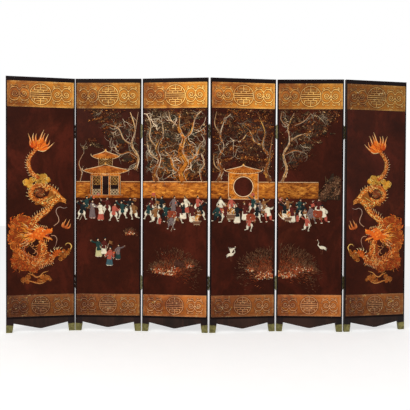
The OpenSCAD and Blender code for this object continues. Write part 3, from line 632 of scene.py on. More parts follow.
def band_gilding(leaf, settings):
    """Aged gold leaf over red lacquer: the ground shaded by place, and the ornament tinted by its paint,
    lighter on its lines as a painted highlight and darker beside them as painted shade.
    """
    finish = Finish(f"band_gilding_{leaf.number}")
    along = finish.along((*leaf.along, 0), leaf.start)
    share = along / (leaf.width * MM)
    up = finish.along((0, 0, 1))
    high = up.step(0.6, 1.2)
    moved = finish.stretched(1, 1, 1.3, shift=leaf.number * 2.3)
    clouds = finish.noise(7.5, 6, 0.68, moved, 1.3)
    stains = finish.noise(34, 5, 0.7, moved, 1.1)
    grit = finish.noise(210, 3, 0.6)
    cracks = finish.cracks(70, moved, 0.02)
    warm = (clouds * 1.35 + share * 0.5 - 0.45 + (stains - 0.5) * 0.6).step(0.1, 0.8)
    gold = finish.mix(warm, tuple(settings.gilt_dark), tuple(settings.gilt_light))
    low = finish.mix(warm, rgb("663010"), rgb("a45c22"))
    ground = finish.mix(high, low, gold)
    tone = GILT_TONES[leaf.number - 1]
    ground = finish.product(ground, finish.mix(high, (tone[1],) * 3, (tone[0],) * 3))
    ground = finish.mix(stains.step(0.53, 0.7) * 0.6, ground, rgb("783818"))
    ground = finish.mix(stains.step(0.44, 0.3) * 0.5, ground, rgb("ecb254"))
    ground = finish.mix(cracks * 0.4, ground, rgb("5c2a14"))
    tinted = finish.product(ground, finish.attribute("paint")["Color"])
    colour = finish.mix(grit.step(0.62, 0.8) * 0.35, tinted, rgb("461e10"))
    roughness = 0.36 + stains * 0.22 + grit * 0.08
    normal = finish.bump(stains * 0.5 + grit * 0.2 + cracks * -0.4, 0.3, 0.0008)
    return finish.done(Base_Color=colour, Roughness=roughness, Metallic=0.3 + clouds * 0.12, Normal=normal,
        Specular_IOR_Level=0.2)


def painted_relief(name):
    """Painted and gilded gesso relief: its own paint, which carries each shape's painted shade and highlight,
    aged, and clouded like tortoiseshell where gilded.
    """
    finish = Finish(name)
    paint = finish.attribute("paint")["Color"]
    gilded = Socket(finish, finish.attribute("gilt")["Fac"])
    blots = finish.noise(46, 4, 0.62, twist=0.8)
    grain = finish.noise(420, 3, 0.6)
    hair = finish.noise(1, 4, 0.6, finish.stretched(170, 170, 700), 0.4)
    stains = finish.noise(1, 6, 0.72, finish.stretched(15, 15, 30), 1.2)
    age = finish.ramp(blots, (0.25, (0.58, 0.52, 0.46)), (0.5, (0.95, 0.93, 0.9)), (0.75, (1.22, 1.16, 1.04)))
    shell = finish.ramp(stains, (0.34, (0.24, 0.15, 0.1)), (0.44, (0.62, 0.48, 0.36)),
        (0.53, (0.95, 0.92, 0.8)), (0.66, (1.3, 1.45, 1.6)))
    aged = finish.product(paint, age)
    aged = finish.mix(gilded, aged, finish.product(aged, shell))
    aged = finish.mix(hair.step(0.6, 0.78) * 0.4, aged, rgb("4a2012"))
    colour = finish.mix(grain.step(0.62, 0.8) * 0.3, aged, rgb("341810"))
    roughness = 0.42 + blots * 0.16 - gilded * 0.08
    normal = finish.bump(blots * 0.3 + grain * 0.25 + hair * 0.35, 0.28, 0.0006)
    return finish.done(Base_Color=colour, Roughness=roughness, Metallic=gilded * 0.2, Normal=normal,
        Specular_IOR_Level=0.08)


def old_brass(name, bright, dull, green, rough):
    """Brass gone olive with age, bright where hands and feet rub it."""
    finish = Finish(name)
    blots = finish.noise(38, 5, 0.62, twist=0.7)
    fine = finish.noise(240, 3, 0.6)
    brushed = finish.noise(1, 4, 0.55, finish.stretched(60, 60, 900))
    colour = finish.mix(blots.step(0.32, 0.66), bright, dull)
    colour = finish.mix(fine.step(0.56, 0.76) * 0.6, colour, green)
    colour = finish.mix(brushed.step(0.6, 0.78) * 0.25, colour, tuple(min(1, c * 1.5) for c in bright))
    roughness = rough + blots * 0.22 + fine * 0.08
    normal = finish.bump(brushed * 0.4 + fine * 0.3, 0.2, 0.0005)
    return finish.done(Base_Color=colour, Roughness=roughness, Metallic=0.75 - blots * 0.3, Normal=normal)


# ---- What a user would change --------------------------------------------------------------


def colour_setting(name, description, default):
    """A colour that a user can choose."""
    return FloatVectorProperty(name=name, description=description, subtype="COLOR", size=3, min=0, max=1,
        default=default)


class BoardSettings(bpy.types.PropertyGroup):
    """Colours of the lacquered boards."""

    lacquer: colour_setting("Lacquer", "Reddish brown of the pictured field", rgb("3c160a"))
    # The sheen colour is a painted sheen, set on the lacquer's lighter clouds
    sheen: colour_setting("Sheen", "Lighter clouds in the lacquer", rgb("562414"))
    border: FloatProperty(name="Border", description="Black border at each side in mm", min=2, max=40,
        default=11)
    top_strip: FloatProperty(name="Top strip", description="Black strip above the upper band in mm", min=5,
        max=80, default=30)


class GiltSettings(bpy.types.PropertyGroup):
    """Sizes and colours of the gilt bands."""

    gilt_light: colour_setting("Light gold", "Gold where it is clean", rgb("d8892c"))
    gilt_dark: colour_setting("Dark gold", "Gold where the red ground shows through", rgb("824212"))
    line: FloatProperty(name="Line", description="Half-width of the raised lines in mm", min=0.5, max=5,
        default=3.7)
    rise: FloatProperty(name="Rise", description="Rise of the ornament in mm", min=0.3, max=2, default=0.8)


class PictureSettings(bpy.types.PropertyGroup):
    """Choices for the raised picture."""

    seed: IntProperty(name="Seed", description="Chooses the twigs and leaves of the trees", min=1, default=7)
    leaf_size: FloatProperty(name="Leaf", description="Size of one tree leaf", min=0.3, max=3, default=1.0)
    scale_size: FloatProperty(name="Scale", description="Size of one dragon scale", min=0.3, max=3,
        default=1.0)


class StageSettings(bpy.types.PropertyGroup):
    """Camera and light."""

    eye: FloatVectorProperty(name="Eye", description="Place of the camera", subtype="TRANSLATION",
        unit="LENGTH", size=3, default=(-0.273, -4.062, 0.987))
    lens: FloatProperty(name="Lens", description="Focal length in mm on a 36 mm wide frame", min=10,
        default=49.06)
    key: FloatProperty(name="Key light", description="Power of the large soft lamp", min=0, default=100)
    ambient: FloatProperty(name="Ambient", description="Strength of the light from all round", min=0,
        default=0.62)


# ---- Gilt bands ----------------------------------------------------------------------------


def storeys(leaf, part):
    """The solids of a leaf's part that lie one above the other, as (x0, x1, z0, z1) in mm, lowest first."""
    points = np.array([vertex.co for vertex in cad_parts[f"{leaf.body}_{part}"].data.vertices])
    x = (points[:, :2] @ leaf.along - leaf.start) / MM
    z = points[:, 2] / MM
    order = np.sort(z)
    breaks = np.flatnonzero(np.diff(order) > 100)
    starts = [order[0], *order[breaks + 1]]
    ends = [*order[breaks], order[-1]]
    return [(x[(z >= a) & (z <= b)].min(), x[(z >= a) & (z <= b)].max(), a, b) for a, b in zip(starts, ends)]


# Tints of the raised lines, lightened as a painted highlight, and of the ground beside them, darkened as
# painted shade, and the rise of the ground in mm
LINE_TINT = (1.55, 2.4, 6.0)
SHADE_TINT = (0.26, 0.17, 0.12)
BAND_GROUND = 1.0


def inlaid(pen, points, half, rise):
    """A raised gold line, its gold lightened with a painted highlight, with painted shade on the ground along
    both its sides.
    """
    pen.line(points, np.asarray(half) * 1.85, SHADE_TINT, rise * 0.35)
    pen.stroke(points, half, LINE_TINT, rise)


def coil(radius, turns, start=0.0, shrink=0.62, count=14):
    """Points on a spiral that winds inwards round its own middle."""
    angles = np.linspace(0, turns * 2 * pi, count)
    reach = radius * shrink ** (angles / pi)
    angles = angles + radians(start)
    return np.column_stack([np.cos(angles) * reach, np.sin(angles) * reach])


def roundel(pen, radius, half, rise):
    """A round fret of level bars that is the same on all four sides of its middle."""

    def bar(*ends):
        inlaid(pen, [(x * radius, z * radius) for x, z in ends], half, rise)

    inlaid(pen, coil(radius, 1, shrink=1, count=25), half, rise)
    for side in (-1, 1):
        for height, reach in ((0.2, 0.93), (0.42, 0.62), (0.64, 0.4)):
            bar((-reach, side * height), (reach, side * height))
        bar((0, side * 0.42), (0, side * 0.95))
        for across in (-1, 1):
            bar((across * 0.6, side * 0.42), (across * 0.6, side * 0.7))
            bar((across * 0.25, side * 0.2), (across * 0.25, side * 0.42))
    bar((-0.95, 0), (0.95, 0))


def scroll(pen, half, rise):
    """Two opposed spirals with a bud between them, a leaf above and below each, and small curls outside."""

    def bent(part, points, *widths):
        inlaid(part, points, [half * width for width in widths], rise)

    for side in (-1, 1):
        part = pen.moved(side=side)
        bent(part, coil(24, 1.6, start=180, shrink=0.66) + (28, 2), 1, 0.9, 0.7)
        bent(part, [(3, -22), (16, -40), (40, -42), (58, -30), (62, -12)], 0.6, 1.2, 0.5)
        bent(part, [(3, 24), (16, 42), (38, 44), (56, 32), (60, 16)], 0.6, 1.2, 0.5)
        bent(part, coil(9, 1.1, start=90) + (52, 50), 0.8, 0.5)
        bent(part, coil(9, 1.1, start=270) * (1, -1) + (50, -54), 0.8, 0.5)
        bent(part, [(8, 52), (20, 58), (34, 54)], 0.4, 0.9, 0.3)
        bent(part, [(8, -52), (20, -60), (34, -56)], 0.4, 0.9, 0.3)
    # A dark disc of painted shade under each bud
    for height in (-20, 26):
        pen.dome(0, height, 9, SHADE_TINT, rise * 0.3, edge=0.8)
        pen.dome(0, height, 6.5, LINE_TINT, rise, lobes=5, depth=0.16)
    bent(pen, [(0, -12), (0, 18)], 0.8)


def gilt_band(pen, extent, settings):
    """One band: its ground, two lines round it, a roundel in its middle and a scroll at each side."""
    x0, x1, z0, z1 = extent
    corners = box(*extent)
    pen.blob(corners, WHITE, BAND_GROUND, 0.4)
    top = pen.moved(lift=BAND_GROUND)
    for inset, half, rise in ((1.8, 1.8, 0.8), (9.5, 1.1, 0.4)):
        for ends in zip(corners, corners[1:] + corners[:1]):
            line = [(x + inset * np.sign((x0 + x1) / 2 - x), z + inset * np.sign((z0 + z1) / 2 - z))
                for x, z in ends]
            top.line(line, half, LINE_TINT, rise * settings.rise / 0.8, step=40)
    middle = top.moved((x0 + x1) / 2, (z0 + z1) / 2)
    wide, tall = x1 - x0, z1 - z0
    roundel(middle, min(tall * 0.4, wide * 0.16), settings.line, settings.rise)
    scale = min(tall / 165, wide / 420)
    for side in (-1, 1):
        scroll(middle.moved(side * wide * 0.318, 0, scale), settings.line / scale, settings.rise)


# ---- Dragons -------------------------------------------------------------------------------

BODY_BANDS = palette("54200c b04c1a ce6224 b65420 e8aa5c")
FIRE = palette("ce4c16 ee7624 f4a842 fae2a0")
EMBER = palette("963414 d65c22 ec9646")
CLOUD_RIM = rgb("ecc474")
BONE = rgb("f6e0b0")
INK = rgb("2e120c")
DRAGON_HEAT = [(340, 0.84, 0.8, 0.84), (500, 0.86, 0.84, 0.82), (620, 1.02, 0.95, 0.8),
    (740, 1.12, 1.05, 0.8), (860, 1.06, 1.16, 1.1), (950, 1.08, 1.32, 1.2), (1040, 1.06, 1.28, 1.2),
    (1100, 1.06, 1.14, 1.0), (1180, 1.02, 1.36, 1.6), (1320, 0.98, 0.94, 0.76), (1460, 1.0, 1.08, 0.95)]


def flame(pen, points, half, colours, rise, vein=True):
    """A tongue of flame with a bright vein down its middle."""
    pen.stroke(points, [half * 0.8, half, half * 0.55, 0.4], colours, rise)
    if vein:
        pen.line(points, [half * 0.1, half * 0.3, half * 0.12], [colours[-1]], rise * 1.12)


def curl(pen, x, z, radius, start, half, paint, rise):
    """A curled lock of cloud."""
    pen.moved(x, z).stroke(coil(radius, 1.25, start), [half, half, half * 0.7], paint, rise)


def scaled_body(pen, scales, points, widths, rise=2.3, spines=None, size=1.0):
    """A rounded length of the dragon's body, with rows of scales, a pale belly edge and a crest of spines."""
    pen.stroke(points, widths, None, rise=rise, across=BODY_BANDS, edge=0.5, section=7)
    line = pen.at(points)
    length = np.linalg.norm(np.diff(line, axis=0), axis=1).sum()
    rows = int(length / 8.5)
    place, tangent = smooth_line(line, rows)
    half = spread(widths, rows + 1)
    left = leftward(tangent)
    turned = np.degrees(np.arctan2(tangent[:, 1], tangent[:, 0]))
    mirrored = 1 if np.linalg.det(pen.matrix) > 0 else -1
    for row in range(1, rows):
        across = max(2, int(half[row] / 4))
        for k in range(across):
            share = ((k + 0.5 * (row % 2)) / across * 1.7 - 0.85) * 0.92
            spot = place[row] + left[row] * share * half[row]
            out = rise * sin(acos(share)) ** 0.6 - 0.35
            warm = palette("e68234 fac87c 5c2610")[pen.chance.choice(3, p=(0.42, 0.26, 0.32))]
            tone = pen.chance.uniform(0.7, 1.2) * heat_at(spot[1:], DRAGON_HEAT)[0]
            scales.put(spot[0], spot[1], out, turned[row], size, tuple(np.minimum(1, warm * tone)))
    if spines:
        side, first, last = spines
        for row in range(int(rows * first), int(rows * last), 2):
            root = place[row] + left[row] * side * mirrored * half[row] * 0.86
            lean = left[row] * side * mirrored - tangent[row] * 0.5
            tip = root + lean * (7 + half[row] * 0.6) * pen.chance.uniform(0.7, 1.2)
            Pen(pen.relief).line([root, (root + tip) / 2 + tangent[row], tip], [3.0, 2.2, 0.5],
                [FIRE[1], BONE], 1.8)


def lick(pen, x, z, turn, reach, half, paint, rise=2.1):
    """A short curved lock."""
    pen.moved(x, z, turn=turn).line([(0, 0), (reach * 0.5, reach * 0.24), (reach, 0)],
        [half * 0.4, half, half * 0.3], paint, rise)


def claw(pen, toes, reach):
    """A foot of hooked toes spread like a hand."""
    pen.dome(0, 0, 15, BODY_BANDS[2], 2.4)
    for k in range(toes):
        angle = -70 + 140 * k / (toes - 1)
        toe = pen.moved(turn=angle)
        toe.stroke([(4, 0), (reach * 0.45, 5), (reach * 0.75, 0)], [6.2, 5.4, 4], BODY_BANDS[3:1:-1], 2.5)
        toe.stroke([(reach * 0.7, 1), (reach * 0.95, 2), (reach * 1.12, -9)], [3.4, 2.6, 0.5], [BONE], 2.3)
        for knuckle in (0.3, 0.5):
            toe.dome(reach * knuckle, 4, 4.4, FIRE[1], 2.8, edge=0.7)


def dragon_head(pen):
    """The head in profile, facing along x, about 130 mm from the nape to the nose."""
    skin, warm, light = rgb("e26a22"), rgb("f28830"), rgb("fabe68")
    for height, reach, bend in ((34, 64, 26), (26, 74, 12), (40, 46, 34)):
        pen.stroke([(-10, height), (-reach * 0.6, height + bend * 0.7), (-reach, height + bend)], [5, 4, 0.8],
            [light, BONE], 2.8)
    pen.swell([(-46, -14), (-34, -34), (-6, -44), (18, -36), (28, -18), (52, -2), (78, 6), (86, 22), (76, 36),
        (52, 38), (34, 32), (20, 44), (-6, 50), (-34, 38), (-48, 14)], skin, 2.6, 7)
    pen.stroke([(16, -10), (44, -26), (70, -34), (84, -46)], [11, 9, 7, 2.5], [skin, warm], 2.6)
    pen.stroke([(22, -16), (46, -30), (74, -40)], [2.2, 2.6, 1.4], [light], 2.9)
    pen.blob([(24, -12), (46, -4), (74, 4), (70, -4), (48, -16), (30, -20)], rgb("781a14"), 2.0, 2)
    pen.stroke([(20, -14), (40, -12), (58, -16), (66, -24)], [3, 3.2, 2.4, 1], [rgb("c43c28")], 2.3)
    for k in range(6):
        x = 34 + k * 8
        pen.line([(x, -3 + k * 1.6), (x + 1, -10 + k * 1.4)], [2.0, 0.6], [BONE], 2.9)
        pen.line([(x, -22 - k * 2.6), (x + 1, -15 - k * 2.4)], [1.8, 0.6], [BONE], 2.9)
    pen.stroke([(-4, 26), (14, 36), (34, 30), (44, 26)], [3.4, 4.2, 3, 1.2], [light, BONE], 3.0)
    pen.dome(17, 22, 7.4, BONE, 2.9)
    pen.dome(18.5, 22, 3.6, INK, 3.1, edge=1)
    curl(pen, 76, 28, 8, 200, 2.6, light, 2.9)
    pen.dome(80, 38, 5.5, warm, 2.9)
    for x, z, r in ((-14, 16, 12), (-28, -6, 11), (-8, -16, 12), (-34, 22, 9), (4, 2, 9)):
        pen.dome(x, z, r, warm, 2.9)
        curl(pen, x, z, r * 0.8, 30, 1.5, light, 3.1)
    for k in range(7):
        x = -30 + k * 13
        pen.line([(x, 44 - abs(k - 2) * 1.5), (x - 3, 58 - abs(k - 3) * 2), (x - 8, 66 - abs(k - 3) * 3)],
            [3.4, 2.8, 0.6], [skin, BONE], 2.7)
    for k in range(5):
        x = 4 + k * 14
        pen.line([(x, -40 + k), (x - 5, -54), (x - 3, -68 + k * 3)], [3.2, 2.6, 0.5], [FIRE[1], FIRE[3]], 2.5)


def mane(pen):
    """Hair that streams back from the head in waves, over a few broader flames."""
    chance = pen.chance
    for k in range(12):
        turn = 150 + 7 * k + chance.uniform(-4, 4)
        reach = chance.uniform(110, 172) * (1 - 0.2 * abs(k - 5) / 6)
        flame(pen.moved(turn=turn), ((0, 0), (reach * 0.35, 9), (reach * 0.7, -5), (reach, 8)),
            chance.uniform(6, 10), [FIRE[0], FIRE[1], FIRE[2], rgb("e8b45a")], rise=1.6 + 0.15 * (k % 3),
            vein=k % 2 == 0)
    tones = (INK, EMBER[0], *FIRE[:3], BONE)
    for k in range(96):
        turn = chance.uniform(138, 236)
        far, reach = chance.uniform(4, 90), chance.uniform(30, 90)
        bend = chance.uniform(-9, 9)
        tone = tones[chance.choice(6, p=(0.24, 0.14, 0.12, 0.2, 0.16, 0.14))]
        pen.moved(turn=turn).line([(far, 0), (far + reach * 0.35, bend), (far + reach * 0.7, -bend),
            (far + reach, 0)], [0.5, chance.uniform(1.2, 2.6), 1.4, 0.4], tone, 2.2 + 0.1 * (k % 3))


def tail_flame(pen):
    """The burst at the end of the tail, round a glowing bud."""
    tongues = [((0, 0), (-26, 30), (-38, 64), (-52, 104)), ((0, 4), (-14, 44), (-20, 76), (-14, 108)),
        ((4, 6), (2, 46), (0, 80), (6, 104)), ((20, 10), (30, 54), (40, 92), (56, 132)),
        ((30, 8), (46, 44), (52, 78), (64, 108)), ((40, 4), (62, 36), (72, 66), (88, 104)),
        ((46, -2), (76, 16), (92, 34), (98, 60)), ((40, -8), (74, -4), (100, 14), (128, 42)),
        ((-6, -2), (-30, 14), (-40, 40), (-36, 72))]
    pen.swell([(-26, 20), (-14, -8), (20, -20), (58, -26), (84, -6), (80, 24), (52, 54), (10, 56)], FIRE[1],
        1.6, 8)
    heats = [EMBER[0], *FIRE[:2], rgb("f0b880")], [*FIRE[:2], *palette("ec9654 f6cc9c")]
    for k, tongue in enumerate(tongues):
        flame(pen, tongue, 9.5, heats[k % 2], rise=2.0)
    pen.dome(36, 50, 21, FIRE[1], 2.6, tall=1.25, turn=-12)
    for k in range(16):
        lick(pen, -18 + 5.6 * k, -8 + 7 * (k * 5 % 9), 60 - 3 * k, 22 + 2 * (k % 5), 2.0,
            (EMBER[0], FIRE[2], rgb("ba3e14"), rgb("f0b06e"))[k % 4], 2.9)
    pen.stroke([(22, 30), (26, 56), (36, 76)], [2.4, 3.4, 1.2], [FIRE[2], FIRE[3]], 3.0)
    pen.stroke([(40, 26), (50, 50), (46, 72)], [1.4, 2.2, 1], [FIRE[0]], 3.0)
    pen.stroke([(16, -16), (46, -22), (72, -12), (76, 8)], [2, 3.2, 2.6, 1], [BONE], 2.2)


def billow(pen, x, z, radius, start, side, paint, rise, rim):
    """A lobe of cloud: a scalloped swelling with light rims round parts of it, dark folds and small locks."""
    chance = pen.chance
    pen.dome(x, z, radius * 1.04, toned(paint, chance.uniform(0.65, 1.15)), rise * 0.8, turn=start, lobes=5,
        depth=0.1, edge=0.22)
    folds = ((0.96, 0.1, 3.3, rim), (0.7, 0.09, 2.6, INK), (0.46, 0.1, 3.8, rim), (0.2, 0.13, 2, INK))
    for far, half, span, tone in folds:
        angles = radians(start) + chance.uniform(-0.7, 0.7) + side * np.linspace(0, span, 7)
        reach = radius * far * np.linspace(1, 0.7, 7)
        arc = np.column_stack([x + np.cos(angles) * reach, z + np.sin(angles) * reach])
        pen.line(arc, radius * half * np.array([0.3, 1, 0.3]), tone, rise * 1.05)
    tones = (INK, EMBER[1], *FIRE[1:3], rim)
    for _ in range(4):
        angle, far = chance.uniform(0, 2 * pi), radius * chance.uniform(0.3, 1.0)
        lick(pen, x + cos(angle) * far, z + sin(angle) * far, chance.uniform(0, 360),
            radius * chance.uniform(0.5, 1.1), chance.uniform(1, 2.2), tones[chance.integers(5)])


def billows(pen, lobes, paints, rise, rim=rgb("e8a858")):
    """Lobes of cloud, each given as its middle, radius, heading where its rims start, and side."""
    for x, z, *lobe in lobes:
        billow(pen, x, z, *lobe, paints[(x + z) % len(paints)], rise, rim)


# Lobes of the clouds round the dragon: x, z, radius, heading where the rims start, and side
UPPER_CLOUD = (
    (140, 1076, 26, 90, 1), (166, 1052, 22, 200, 1), (176, 1092, 22, 120, -1), (216, 1112, 26, 90, 1),
    (222, 1080, 20, 220, -1), (258, 1112, 30, 60, -1), (262, 1080, 22, 250, 1), (286, 1096, 20, 0, 1),
)
MASS_LOBES = (
    (62, 792, 26, 150, 1), (96, 814, 25, 80, 1), (134, 812, 23, 60, -1), (160, 790, 20, 40, -1),
    (48, 756, 19, 200, 1), (86, 776, 20, 120, 1), (40, 716, 18, 160, 1), (38, 668, 23, 180, 1),
    (60, 636, 22, 220, -1), (92, 622, 19, 260, -1), (70, 590, 17, 130, 1), (66, 552, 18, 150, 1),
    (54, 512, 21, 170, 1), (66, 478, 21, 230, -1), (98, 500, 20, 100, 1), (110, 464, 20, 250, -1),
    (148, 462, 21, 270, 1), (186, 448, 19, 290, 1), (136, 504, 20, 60, -1), (176, 490, 20, 20, 1),
)
FOOT_CLOUD = (
    (378, 526, 18, 200, 1), (402, 548, 20, 300, 1), (424, 566, 17, 30, -1), (376, 560, 18, 90, 1),
    (400, 582, 14, 60, 1), (438, 590, 12, 0, 1),
)
LOW_CLOUD = (
    (120, 378, 20, 160, 1), (152, 396, 20, 120, 1), (148, 364, 16, 220, -1), (250, 396, 20, 60, 1),
    (228, 366, 18, 240, 1), (284, 388, 20, 30, 1), (304, 376, 14, 0, 1), (258, 368, 16, 300, -1),
)
# Outlines of the two dark masses of cloud behind its mane and its claws
CLOUD_MASSES = (
    ((40, 806), (66, 828), (110, 842), (150, 834), (186, 812), (206, 770), (204, 700), (190, 652), (150, 648),
     (108, 616), (84, 596), (40, 600), (26, 640), (12, 656), (30, 690), (22, 722), (38, 752), (28, 778)),
    ((60, 604), (44, 566), (52, 540), (34, 516), (42, 478), (78, 458), (108, 442), (160, 440), (196, 424),
     (226, 446), (262, 474), (312, 496), (330, 520), (316, 556), (282, 588), (266, 640), (230, 646),
     (214, 600), (214, 556), (196, 544), (160, 562), (122, 586), (96, 612)),
)


def dragon(pen, scales):
    """A dragon coiling head down among clouds, for a leaf 478 mm wide."""
    chance = pen.chance
    tail_flame(pen.moved(204, 1322))
    scaled_body(pen, scales, [(226, 1330), (196, 1298), (170, 1266), (156, 1232), (156, 1198), (168, 1162),
        (192, 1132), (226, 1104)], [7, 12, 14, 15, 15, 16, 18], spines=(-1, 0.08, 0.95), size=0.8)
    billows(pen, UPPER_CLOUD, [rgb("d08c32")], 1.7, CLOUD_RIM)
    pen.swell([(300, 1020), (290, 988), (262, 960), (222, 950), (200, 946), (196, 926), (206, 914),
        (236, 916), (262, 900), (296, 898), (330, 908), (350, 924), (372, 936), (404, 932), (416, 944),
        (404, 966), (382, 986), (354, 1008), (330, 1030), (310, 1040)], rgb("964e1a"), 1.3, 6)
    scaled_body(pen, scales, [(288, 1016), (262, 1048), (226, 1056), (190, 1040), (172, 1006), (180, 972),
        (212, 950), (252, 950), (284, 972)], [15, 17, 18, 19, 19, 18, 17, 15, 12], rise=2.2, size=0.8,
        spines=(-1, 0.1, 0.9))
    pen.dome(234, 1004, 34, rgb("76361c"), 1.2, sides=18)
    for k in range(34):
        lick(pen, 230 + 32 * cos(k * 2.4) * (k / 34), 1004 + 30 * sin(k * 2.4) * (k / 34), k * 137.5, 17, 1.8,
            (INK, BODY_BANDS[2], rgb("e8aa6c"), BODY_BANDS[1])[k % 4], 1.5)
    scaled_body(pen, scales, [(262, 1060), (302, 1040), (338, 1010), (366, 980), (390, 956)],
        [10, 17, 20, 17, 10], rise=2.4, spines=(1, 0.05, 0.6))
    scaled_body(pen, scales, [(366, 962), (330, 942), (288, 930), (246, 934), (214, 938)],
        [16, 22, 20, 16, 8], rise=2.5, size=1.1)
    creases = (((212, 934), (240, 920), (262, 928)), ((270, 944), (300, 962), (330, 984)),
        ((300, 914), (332, 930), (356, 950)), ((332, 1004), (352, 984), (366, 962)))
    for k, path in enumerate(creases):
        pen.line(path, [0.8, 2.6, 0.8], CLOUD_RIM if k % 2 else rgb("92541a"), 2.8)
    for z in (964, 952, 941):
        pen.line([(386, z), (404, z - 6), (417, z - 17)], [6.5, 5, 0.8], palette("ce702c e69654"), 2.6)
    scaled_body(pen, scales, [(326, 930), (300, 892), (264, 856), (224, 828), (190, 792), (170, 752)],
        [14, 20, 22, 23, 24, 22], rise=2.3, spines=(-1, 0.1, 0.8))
    pen.stroke([(314, 896), (286, 862), (250, 836), (218, 800)], [1.2, 3.4, 3.4, 1.4], [rgb("f6c474")], 2.6)
    for mass in CLOUD_MASSES:
        pen.swell(mass, rgb("924216"), 0.9, 5)
        rim, run = smooth_line(mass, 56, closed=True)
        for spot, way in zip(rim, run):
            turn = degrees(atan2(way[1], way[0])) + chance.choice((-1, 1)) * chance.uniform(20, 60)
            reach = chance.uniform(14, 30)
            inside = max(spot[0], 14, 14 - reach * cos(radians(turn)))
            lick(pen, inside, spot[1], turn, reach, chance.uniform(1.8, 3.6), EMBER[chance.integers(1, 3)],
                1.5)
    billows(pen, MASS_LOBES, palette("ac561e a04214 a04214"), 1.8, rgb("ce8640"))
    for k in range(170):
        x, z = chance.uniform(42, 210), chance.uniform(440, 830)
        if not (640 > z > 552 and 112 < x < 222) and x > 30 + 0.3 * max(0, z - 760):
            lick(pen, x, z, chance.uniform(0, 360), chance.uniform(12, 34), chance.uniform(1.2, 2.8),
                (INK, FIRE[1], EMBER[0], EMBER[1], rgb("e2a056"), BODY_BANDS[2])[k % 6], 2.0 + 0.1 * (k % 4))
    mane(pen.moved(210, 706))
    scaled_body(pen, scales, [(92, 640), (92, 592), (112, 548), (150, 518), (200, 496), (250, 500),
        (300, 520), (336, 548)], [14, 17, 20, 23, 25, 24, 21, 15], rise=2.2, spines=(1, 0.2, 0.66))
    scaled_body(pen, scales, [(238, 664), (258, 622), (262, 578), (246, 536), (224, 500)],
        [20, 23, 25, 24, 20], rise=2.4)
    for k in range(9):
        z = 640 - k * 15
        pen.line([(240 - k * 0.6, z), (258, z - 6), (280 - k, z)], [1.6, 2.4, 1.2], [rgb("face7e")], 2.8)
    for k in range(9):
        x = 226 + k * 12
        pen.line([(x, 474 + k * 4.6), (x + 2, 460 + k * 4.6), (x + 8, 452 + k * 4.6)], [3.4, 2.6, 0.6],
            [FIRE[1], BONE], 1.9)
    locks = (((148, 642), (168, 654), (178, 634), (164, 622)), ((180, 604), (200, 592), (198, 570),
        (184, 566)), ((206, 590), (216, 566), (206, 548)), ((168, 616), (184, 614), (190, 630)))
    for path in locks:
        pen.line(path, [1, 2.6, 2.2, 0.8], [rgb("e2a06e")], 1.6)
    dragon_head(pen.moved(236, 706))
    whiskers = (((330, 764), (362, 792), (362, 824), (347, 858), (350, 886), (372, 900), (400, 892),
        (424, 899)), ((310, 694), (336, 692), (351, 670), (346, 636), (336, 610)))
    for path in whiskers:
        pen.stroke(path, [2.6, 2.8, 2.6, 2.2, 1.2], palette("cea088 a88884"), 1.8)
    tongues = (((402, 746), (398, 776), (408, 796), (418, 816)), ((412, 744), (424, 768), (432, 786),
        (442, 812)), ((396, 752), (388, 764), (390, 778), (394, 790)), ((418, 744), (438, 752), (444, 766),
        (448, 780)))
    for tongue in tongues:
        flame(pen, tongue, 7, palette("a85028 cc703c dc9258 ecba88"), rise=1.6, vein=False)
    pen.dome(414, 754, 12, rgb("ba6232"), 1.4)
    billows(pen, FOOT_CLOUD, [rgb("a45c22")], 1.6)
    pen.stroke([(446, 592), (454, 616), (440, 636), (420, 636), (410, 622)], [4, 4.2, 3, 1], [CLOUD_RIM], 1.6)
    claw(pen.moved(352, 558, turn=150), 5, 50)
    claw(pen.moved(366, 578, 0.8, turn=60), 3, 40)
    billows(pen, LOW_CLOUD, [rgb("a85e24")], 1.5, rgb("dc9650"))
    ribbons = (((150, 424), (184, 412), (206, 396), (232, 402), (256, 426), (292, 438)),
        ((150, 372), (184, 362), (214, 352), (244, 350), (276, 364)))
    for ribbon in ribbons:
        pen.stroke(ribbon, [2, 6, 6, 4, 1.6], palette("c47432 d88848"), 1.7)
        pen.line(ribbon, [0.8, 1.8, 1.6, 0.8], [CLOUD_RIM], 2.0)


def scale_shape():
    return small_shape(lambda pen: pen.dome(0, 0, 4.2, WHITE, 0.9, tall=0.8, sides=7))


# ---- Trees ---------------------------------------------------------------------------------

CREAM = rgb("f8e0be")
BARK = palette("68381a a05e28 784622")
GOLD_BARK = palette("a85c1c d68830 b06424")
PALE_BARK = palette("8c603c cca06c aa7c50")
PINE = palette("28180e 422a1a 5c3e24 8a623a e4b87e")
GREY_LEAF = palette("2e1e14 483220 624830 8c6c48 e2bc8a")
MAPLE = palette("4c220e 703816 985422 d28a42 3c2012")
RUSSET = palette("30140a 461e0e 602c14 804622 c48248")
UMBER = palette("261008 38180c 4e2410 68361a 965e32")


